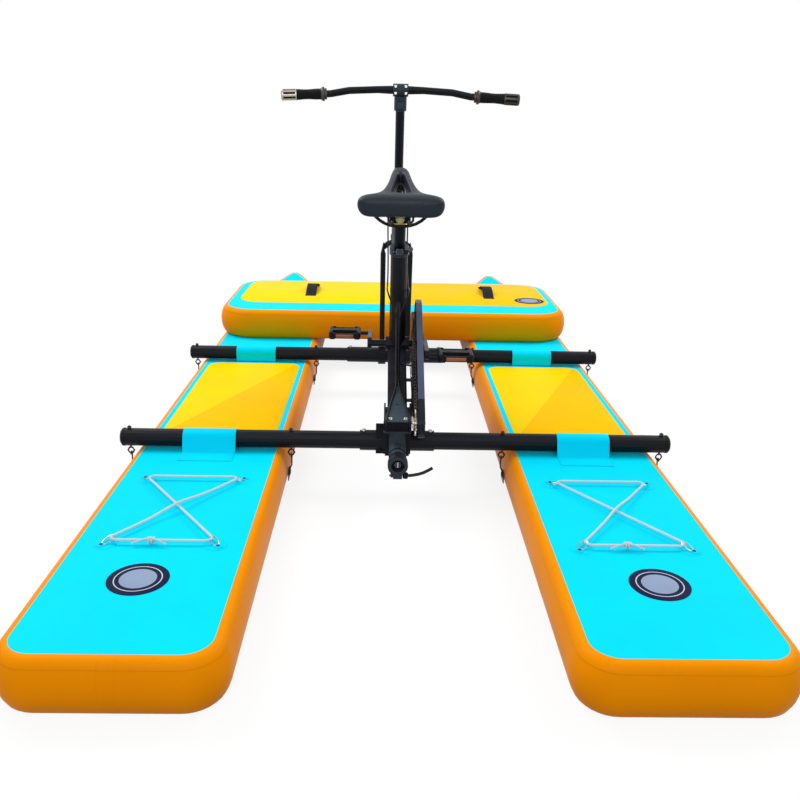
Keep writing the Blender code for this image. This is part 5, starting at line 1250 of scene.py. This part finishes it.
def make_tail_rings_and_socket_shade():
    """A dark sleeve inside the tail tube's socket, which is painted shade, and two thin rings."""
    shape = bmesh.new()
    for inner, outer, start, stop in (
        # A dark sleeve lining the socket's open end: painted shade inside the socket.
        (0.0257, 0.0268, 0.0012, 0.0262),
        (0.0227, 0.0242, 0.0390, 0.0440),
        (0.0227, 0.0242, 0.0680, 0.0720),
    ):
        profile = ((inner, start), (outer, start), (outer, stop), (inner, stop), (inner, start))
        spun(shape, profile, TAIL_END, FORWARD)
    add_piece("tail_tube_rings_and_socket_shade", shape, "tail", "dark_plastic", 30)


def make_reflectors():
    """Amber reflectors on the front and rear of both pedals, with a prism pattern."""
    centres = (("pedal_left", (-0.17, -0.18533, 0.33664)), ("pedal_right", (0.17, -0.51467, 0.35736)))
    for body, centre in centres:
        shape = bmesh.new()
        for facing in (-1, 1):
            spot = Vector(centre) + FORWARD * facing * 0.0438
            bevelled_box(shape, spot, (0.066, 0.0042, 0.0155), None, 0.0012, 2, 1)
            bevelled_box(shape, spot + FORWARD * facing * 0.0015, (0.058, 0.0032, 0.0110), None, 0.0008)
        add_piece(f"{body}_reflectors", shape, body, "amber_lens dark_plastic", 30)


def make_fasteners():
    """Bolt heads on the chain guard, stem clamp, triangular plate and tube sleeves."""
    guard = bmesh.new()
    guard_side = 0.0735
    plate_top = 0.24962
    for y, z in ((-0.35, 0.347), (-0.30, 0.42), (-0.42, 0.285), (-0.60, 0.255), (-0.745, 0.228)):
        socket_bolt(guard, (guard_side, y, z), RIGHT, 0.0050, 0.0030)
    stem = bmesh.new()
    plate = bmesh.new()
    sleeves = bmesh.new()
    centre = steering_point(STEM_DISTANCE) - FORWARD * 0.0232
    for side in (-1, 1):
        for height in (-0.010, 0.010):
            socket_bolt(stem, centre + RIGHT * side * 0.016 + UP * height, -FORWARD, 0.0042, 0.0036)
        hexagon_bolt(plate, (side * 0.0205, -0.7760, plate_top), (0, -0.115, 0.993), 0.0075, 0.0042)
        for y, half in ((REAR_TUBE, 0.094), (FRONT_TUBE, 0.168)):
            hexagon_bolt(sleeves, (side * half, y, TUBE_HEIGHT + 0.0289), UP, 0.009, 0.0052)
    for name, shape, body in (
        ("chain_guard_screws", guard, "frame"),
        ("stem_clamp_screws", stem, "steering"),
        ("gusset_bolts", plate, "frame"),
        ("sleeve_bolts", sleeves, "frame"),
    ):
        add_piece(name, shape, body, "bright_metal", 30)


# Finishes of what the frame already has

NODE_FINISHES = {
    "black_paint": (
        "crank_left crank_right fork front_cross_tube front_sleeve gearbox_housing handlebar handlebar_post"
        " rear_bracket rear_cross_tube rear_sleeve saddle_rails seat_clamp_lever seat_post tail_lever"
    ),
    "guard_paint": "chain_guard",
    "grey_paint": "gusset_plate stem_clamp tail_housing",
    "dark_plastic": (
        "chain_guide front_tube_cap_left front_tube_cap_right pedal_left pedal_right"
        " rear_tube_cap_left rear_tube_cap_right"
    ),
    "bright_metal": "lower_shaft rear_sprocket upper_shaft",
    "polished_dark": "seat_clamp tail_shaft",
    "frame_paint": "main_frame",
    "dark_metal": (
        "chain chainring tie_front_left_inner tie_front_left_outer tie_front_right_inner"
        " tie_front_right_outer tie_rear_left_inner tie_rear_left_outer tie_rear_right_inner"
        " tie_rear_right_outer"
    ),
}


def make_fabrics(floats):
    """The coated fabrics of the floats, and of their panels, straps, patches and badges."""
    matt = {"Specular IOR Level": 0.02}
    satin = {"Specular IOR Level": 0.03}
    patch_colour = [part * 0.985 for part in floats.deck_colour]
    for name, colour, gloss, variation in (
        ("deck_skin", floats.deck_colour, (0.42, 0.56), 0.04),
        # The lighter panel yellow is a painted reflection.
        ("panel_skin", floats.panel_reflection_colour, (0.40, 0.52), 0.04),
        ("panel_skin_deep", floats.panel_deep_colour, (0.40, 0.52), 0.04),
        ("strap_skin", floats.strap_colour, (0.42, 0.55), 0.04),
        ("deck_patch", patch_colour, (0.35, 0.50), 0.04),
        ("badge_dark", (0.12, 0.14, 0.26), (0.35, 0.50), 0.15),
        ("badge_line", (0.80, 0.84, 0.90), (0.35, 0.50), 0.05),
        ("badge_middle", (0.56, 0.63, 0.74), (0.35, 0.50), 0.12),
    ):
        coated_fabric(name, colour, gloss, variation, **matt)
    for name, joint in (("wall_skin_left", 0.139), ("wall_skin_right", -1.0)):
        coated_fabric(name, floats.wall_colour, (0.30, 0.42), creased=True, joint=joint, **satin)


def make_hard_finishes(fittings):
    """The painted, moulded and plated finishes."""
    dull = {"Specular IOR Level": 0.14}
    soft = {"Specular IOR Level": 0.30}
    coat = {"Coat Weight": 0.3}
    steel = {"Metallic": 1.0}
    # Rubbed edges: their colour, how wide they are and how much shows
    black_wear = ((0.26, 0.30, 0.35), 0.0012, 0.5)
    grey_wear = ((0.5, 0.55, 0.6), 0.0015, 0.5)
    guard_wear = ((0.55, 0.58, 0.64), 0.0015, 0.5)
    plastic_wear = ((0.18, 0.18, 0.20), 0.0015, 0.5)
    steel_wear = ((0.9, 0.89, 0.86), 0.001, 0.6)
    dark_wear = ((0.5, 0.46, 0.42), 0.001, 0.7)
    brass_wear = ((0.86, 0.79, 0.60), 0.001, 0.5)
    # Each row: name, colour, gloss from and to, grain, bump, variation, rubbed edges, constants
    for name, colour, gloss, grain, bump, variation, wear, constants in (
        ("black_paint", fittings.paint_colour, (0.28, 0.46), 900.0, 0.10, 0.15, black_wear, dull),
        ("grey_paint", (0.19, 0.24, 0.28), (0.34, 0.50), 800.0, 0.12, 0.12, grey_wear, dull),
        ("frame_paint", (0.10, 0.10, 0.125), (0.30, 0.48), 900.0, 0.10, 0.18, black_wear, dull),
        ("dark_plastic", (0.055, 0.06, 0.075), (0.42, 0.62), 1400.0, 0.22, 0.20, plastic_wear, dull),
        ("grip_rubber", (0.085, 0.08, 0.085), (0.62, 0.82), 1800.0, 0.35, 0.20, None, dull),
        ("bright_metal", (0.72, 0.70, 0.66), (0.18, 0.36), 500.0, 0.08, 0.10, steel_wear, steel),
        ("dark_metal", (0.30, 0.27, 0.25), (0.30, 0.55), 700.0, 0.18, 0.25, dark_wear, steel),
        ("polished_dark", (0.20, 0.225, 0.27), (0.14, 0.30), 500.0, 0.08, 0.15, steel_wear, steel),
        ("brass", (0.74, 0.66, 0.46), (0.30, 0.46), 500.0, 0.10, 0.12, brass_wear, steel),
        ("cable_sheath", (0.05, 0.055, 0.065), (0.35, 0.50), 1200.0, 0.12, 0.15, None, dull),
        ("saddle_cover", fittings.saddle_colour, (0.40, 0.54), 1100.0, 0.10, 0.14, None, soft),
        ("saddle_trim", (0.10, 0.11, 0.14), (0.50, 0.65), 1500.0, 0.20, 0.15, None, dull),
        ("amber_lens", (0.66, 0.33, 0.06), (0.14, 0.26), 260.0, 0.45, 0.10, None, coat),
        ("thread", (0.16, 0.17, 0.20), (0.60, 0.80), 2500.0, 0.30, 0.20, None, dull),
    ):
        hard_finish(name, colour, gloss, grain, bump, variation, wear, **constants)
    guard_end = ((0.09, 0.10, 0.13), -0.722)
    gloss = (0.34, 0.50)
    hard_finish("guard_paint", fittings.guard_colour, gloss, 800.0, 0.12, 0.12, guard_wear, guard_end, **dull)
    # The second colour of each woven finish is painted shade in the gaps between its threads.
    woven_finish("webbing", (0.18, 0.19, 0.25), (0.06, 0.06, 0.08), 90.0, 0.6, (0.65, 0.85), **dull)
    cord_map = (CORD_LENGTH, math.pi * fittings.cord_width)
    pale = fittings.cord_colour
    shadow = [part * 0.86 for part in pale]
    woven_finish("elastic_cord", pale, shadow, 110.0, 0.5, (0.6, 0.8), cord_map, math.radians(45), **dull)


def make_finishes(floats, fittings):
    """Build every shared effect and material once, and dress the parts that the frame already has."""
    for build in (fine_grain_group, worn_edges_group, plain_weave_group, seam_creases_group):
        tree = build()
        EFFECTS[tree.name] = tree
    make_fabrics(floats)
    make_hard_finishes(fittings)
    for material, names in NODE_FINISHES.items():
        for name in names.split():
            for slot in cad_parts[name].material_slots:
                slot.material = FINISHES[material]


# Stage


def camera_place():
    """The camera's place and direction, as the photograph has them."""
    yaw, pitch, roll = 0.022, 0.327, -0.022
    look = Vector((math.sin(yaw) * math.cos(pitch), math.cos(yaw) * math.cos(pitch), -math.sin(pitch)))
    side = Vector((math.cos(yaw), -math.sin(yaw), 0))
    down = look.cross(side)
    right = side * math.cos(roll) + down * math.sin(roll)
    lower = down * math.cos(roll) - side * math.sin(roll)
    place = Matrix((right, -lower, -look)).transposed().to_4x4()
    return Matrix.Translation((-0.043, -2.919, 1.031)) @ place


def make_camera(stage):
    """The camera at the photograph's place."""
    data = bpy.data.cameras.new("camera")
    data.lens = stage.lens
    data.sensor_width = 36.0
    data.clip_end = 200.0
    camera = new_object("camera", data)
    camera.matrix_world = camera_place()
    bpy.context.scene.camera = camera


def straight_to_camera(tree):
    """One where a ray comes from the camera or from a mirror or glass, and zero elsewhere."""
    path = add_node(tree, "ShaderNodeLightPath").outputs
    first = math_node(tree, "MAXIMUM", path["Is Camera Ray"], path["Is Glossy Ray"])
    return math_node(tree, "MAXIMUM", first, path["Is Transmission Ray"])


def make_floor():
    """A white floor that keeps the object's shadow."""
    shape = bmesh.new()
    bmesh.ops.create_grid(shape, x_segments=1, y_segments=1, size=40.0)
    mesh = bpy.data.meshes.new("studio_floor")
    shape.to_mesh(mesh)
    shape.free()
    new_object("studio_floor", mesh)
    material = bpy.data.materials.new("studio_floor")
    material.use_nodes = True
    tree = material.node_tree
    tree.nodes.clear()
    path = add_node(tree, "ShaderNodeLightPath").outputs
    tone = mix_colour(tree, path["Is Camera Ray"], (0.26, 0.26, 0.26, 1), WHITE)
    matte = add_node(tree, "ShaderNodeBsdfDiffuse", {"Color": tone}).outputs[0]
    glow = add_node(tree, "ShaderNodeEmission", {"Color": WHITE, "Strength": 1.0}).outputs[0]
    place = add_node(tree, "ShaderNodeTexCoord").outputs["Object"]
    away = add_node(tree, "ShaderNodeVectorMath", {0: place}, operation="LENGTH").outputs["Value"]
    fade = map_range(tree, away, 0.5, 3.0, 0.82, 1.0)
    seen = math_node(tree, "MULTIPLY", straight_to_camera(tree), fade)
    both = add_node(tree, "ShaderNodeMixShader", {0: seen, 1: matte, 2: glow})
    add_node(tree, "ShaderNodeOutputMaterial", {"Surface": both.outputs[0]})
    mesh.materials.append(material)


def make_sky(stage):
    """Even light from all around, seen as plain white."""
    world = bpy.data.worlds.new("studio_sky")
    bpy.context.scene.world = world
    world.use_nodes = True
    tree = world.node_tree
    tree.nodes.clear()
    light = add_node(tree, "ShaderNodeBackground", {"Color": WHITE, "Strength": stage.sky_level}).outputs[0]
    white = add_node(tree, "ShaderNodeBackground", {"Color": WHITE, "Strength": 1.0}).outputs[0]
    both = add_node(tree, "ShaderNodeMixShader", {0: straight_to_camera(tree), 1: light, 2: white})
    add_node(tree, "ShaderNodeOutputWorld", {"Surface": both.outputs[0]})


def add_lamp(name, power, size, place):
    """A square area lamp that points at the object's middle."""
    data = bpy.data.lights.new(name, "AREA")
    data.energy = power
    data.size = size
    turn = (Vector((0, 0.0, 0.2)) - Vector(place)).to_track_quat("-Z", "Y")
    new_object(name, data).matrix_world = Matrix.Translation(place) @ turn.to_matrix().to_4x4()


# Operators, one for each piece or group of like pieces


class WATERBIKE_OT_stage(bpy.types.Operator):
    """Make the camera, the white floor, the sky and the lamps"""

    bl_idname = "waterbike.stage"
    bl_label = "Stage"

    def execute(self, context):
        stage = context.scene.waterbike_stage
        make_camera(stage)
        make_floor()
        make_sky(stage)
        add_lamp("key_lamp", stage.key_power, 3.0, (-3.2, 1.4, 4.4))
        add_lamp("fill_lamp", stage.fill_power, 2.5, (3.4, 1.2, 3.8))
        add_lamp("front_lamp", stage.front_power, 3.0, (-0.3, -5.0, 2.6))
        context.scene.view_settings.view_transform = "Standard"
        return {"FINISHED"}


class WATERBIKE_OT_finishes(bpy.types.Operator):
    """Make every material and put them on the parts that the frame already has"""

    bl_idname = "waterbike.finishes"
    bl_label = "Finishes"

    def execute(self, context):
        make_finishes(context.scene.waterbike_floats, context.scene.waterbike_fittings)
        return {"FINISHED"}


class WATERBIKE_OT_cables(bpy.types.Operator):
    """Run the two steering cables along the frame"""

    bl_idname = "waterbike.cables"
    bl_label = "Steering cables"

    def execute(self, context):
        make_steering_cables()
        return {"FINISHED"}


class WATERBIKE_OT_bungees(bpy.types.Operator):
    """Lace an elastic cord across each rear deck"""

    bl_idname = "waterbike.bungees"
    bl_label = "Elastic cords"

    def execute(self, context):
        make_bungees(context.scene.waterbike_floats, context.scene.waterbike_fittings)
        return {"FINISHED"}


class WATERBIKE_OT_floats(bpy.types.Operator):
    """Inflate the two long floats and the cross float"""

    bl_idname = "waterbike.floats"
    bl_label = "Floats"

    def execute(self, context):
        make_floats(context.scene.waterbike_floats)
        return {"FINISHED"}


class WATERBIKE_OT_deck_panels(bpy.types.Operator):
    """Lay the yellow panels and the plain ring badges on the decks"""

    bl_idname = "waterbike.deck_panels"
    bl_label = "Deck panels"

    def execute(self, context):
        make_panels(context.scene.waterbike_floats)
        make_badges(context.scene.waterbike_floats)
        return {"FINISHED"}


class WATERBIKE_OT_valves(bpy.types.Operator):
    """Fit an inflation valve to each float"""

    bl_idname = "waterbike.valves"
    bl_label = "Valves"

    def execute(self, context):
        make_valves(context.scene.waterbike_floats)
        return {"FINISHED"}


class WATERBIKE_OT_straps(bpy.types.Operator):
    """Strap the cross tubes down on the decks"""

    bl_idname = "waterbike.straps"
    bl_label = "Tube straps"

    def execute(self, context):
        make_straps(context.scene.waterbike_floats, context.scene.waterbike_fittings)
        return {"FINISHED"}


class WATERBIKE_OT_handles(bpy.types.Operator):
    """Sew the webbing handles onto the cross float"""

    bl_idname = "waterbike.handles"
    bl_label = "Handles"

    def execute(self, context):
        make_handles(context.scene.waterbike_fittings)
        return {"FINISHED"}


class WATERBIKE_OT_saddle(bpy.types.Operator):
    """Shape the padded saddle with its channel, welts and rail sockets"""

    bl_idname = "waterbike.saddle"
    bl_label = "Saddle"

    def execute(self, context):
        make_saddle(context.scene.waterbike_fittings)
        make_saddle_trim(context.scene.waterbike_fittings)
        return {"FINISHED"}


class WATERBIKE_OT_grips(bpy.types.Operator):
    """Fit the grips and the bar's end caps"""

    bl_idname = "waterbike.grips"
    bl_label = "Grips"

    def execute(self, context):
        make_grips(context.scene.waterbike_fittings)
        return {"FINISHED"}


class WATERBIKE_OT_small_fittings(bpy.types.Operator):
    """Add the collars, the pedals' reflectors and the bolt heads"""

    bl_idname = "waterbike.small_fittings"
    bl_label = "Small fittings"

    def execute(self, context):
        make_collars()
        make_tail_rings_and_socket_shade()
        make_reflectors()
        make_fasteners()
        return {"FINISHED"}


OPERATORS = (
    WATERBIKE_OT_stage,
    WATERBIKE_OT_finishes,
    WATERBIKE_OT_cables,
    WATERBIKE_OT_bungees,
    WATERBIKE_OT_floats,
    WATERBIKE_OT_deck_panels,
    WATERBIKE_OT_valves,
    WATERBIKE_OT_straps,
    WATERBIKE_OT_handles,
    WATERBIKE_OT_saddle,
    WATERBIKE_OT_grips,
    WATERBIKE_OT_small_fittings,
)


class WATERBIKE_PT_sidebar(bpy.types.Panel):
    """Lists the settings and the steps that build the water bike"""

    bl_idname = "WATERBIKE_PT_sidebar"
    bl_label = "Water Bike"
    bl_space_type = "VIEW_3D"
    bl_region_type = "UI"
    bl_category = "Water Bike"

    def draw(self, context):
        column = self.layout.column()
        scene = context.scene
        for settings in (scene.waterbike_stage, scene.waterbike_floats, scene.waterbike_fittings):
            box = column.box()
            for key in settings.bl_rna.properties.keys():
                if key not in ("rna_type", "name"):
                    box.prop(settings, key)
        for operator in OPERATORS:
            column.operator(operator.bl_idname)


GROUPS = (
    ("waterbike_floats", FloatSettings),
    ("waterbike_fittings", FittingSettings),
    ("waterbike_stage", StageSettings),
)


def register():
    """Register the settings, operators and panel."""
    for name, group in GROUPS:
        bpy.utils.register_class(group)
        setattr(bpy.types.Scene, name, PointerProperty(type=group))
    for operator in OPERATORS:
        bpy.utils.register_class(operator)
    bpy.utils.register_class(WATERBIKE_PT_sidebar)


def unregister():
    """Undo the registration."""
    bpy.utils.unregister_class(WATERBIKE_PT_sidebar)
    for operator in reversed(OPERATORS):
        bpy.utils.unregister_class(operator)
    for name, group in reversed(GROUPS):
        delattr(bpy.types.Scene, name)
        bpy.utils.unregister_class(group)


def main():
    """Build the whole object in order."""
    register()
    for operator in OPERATORS:
        area, step = operator.bl_idname.split(".")
        getattr(getattr(bpy.ops, area), step)()


if __name__ == "__main__":
    main()
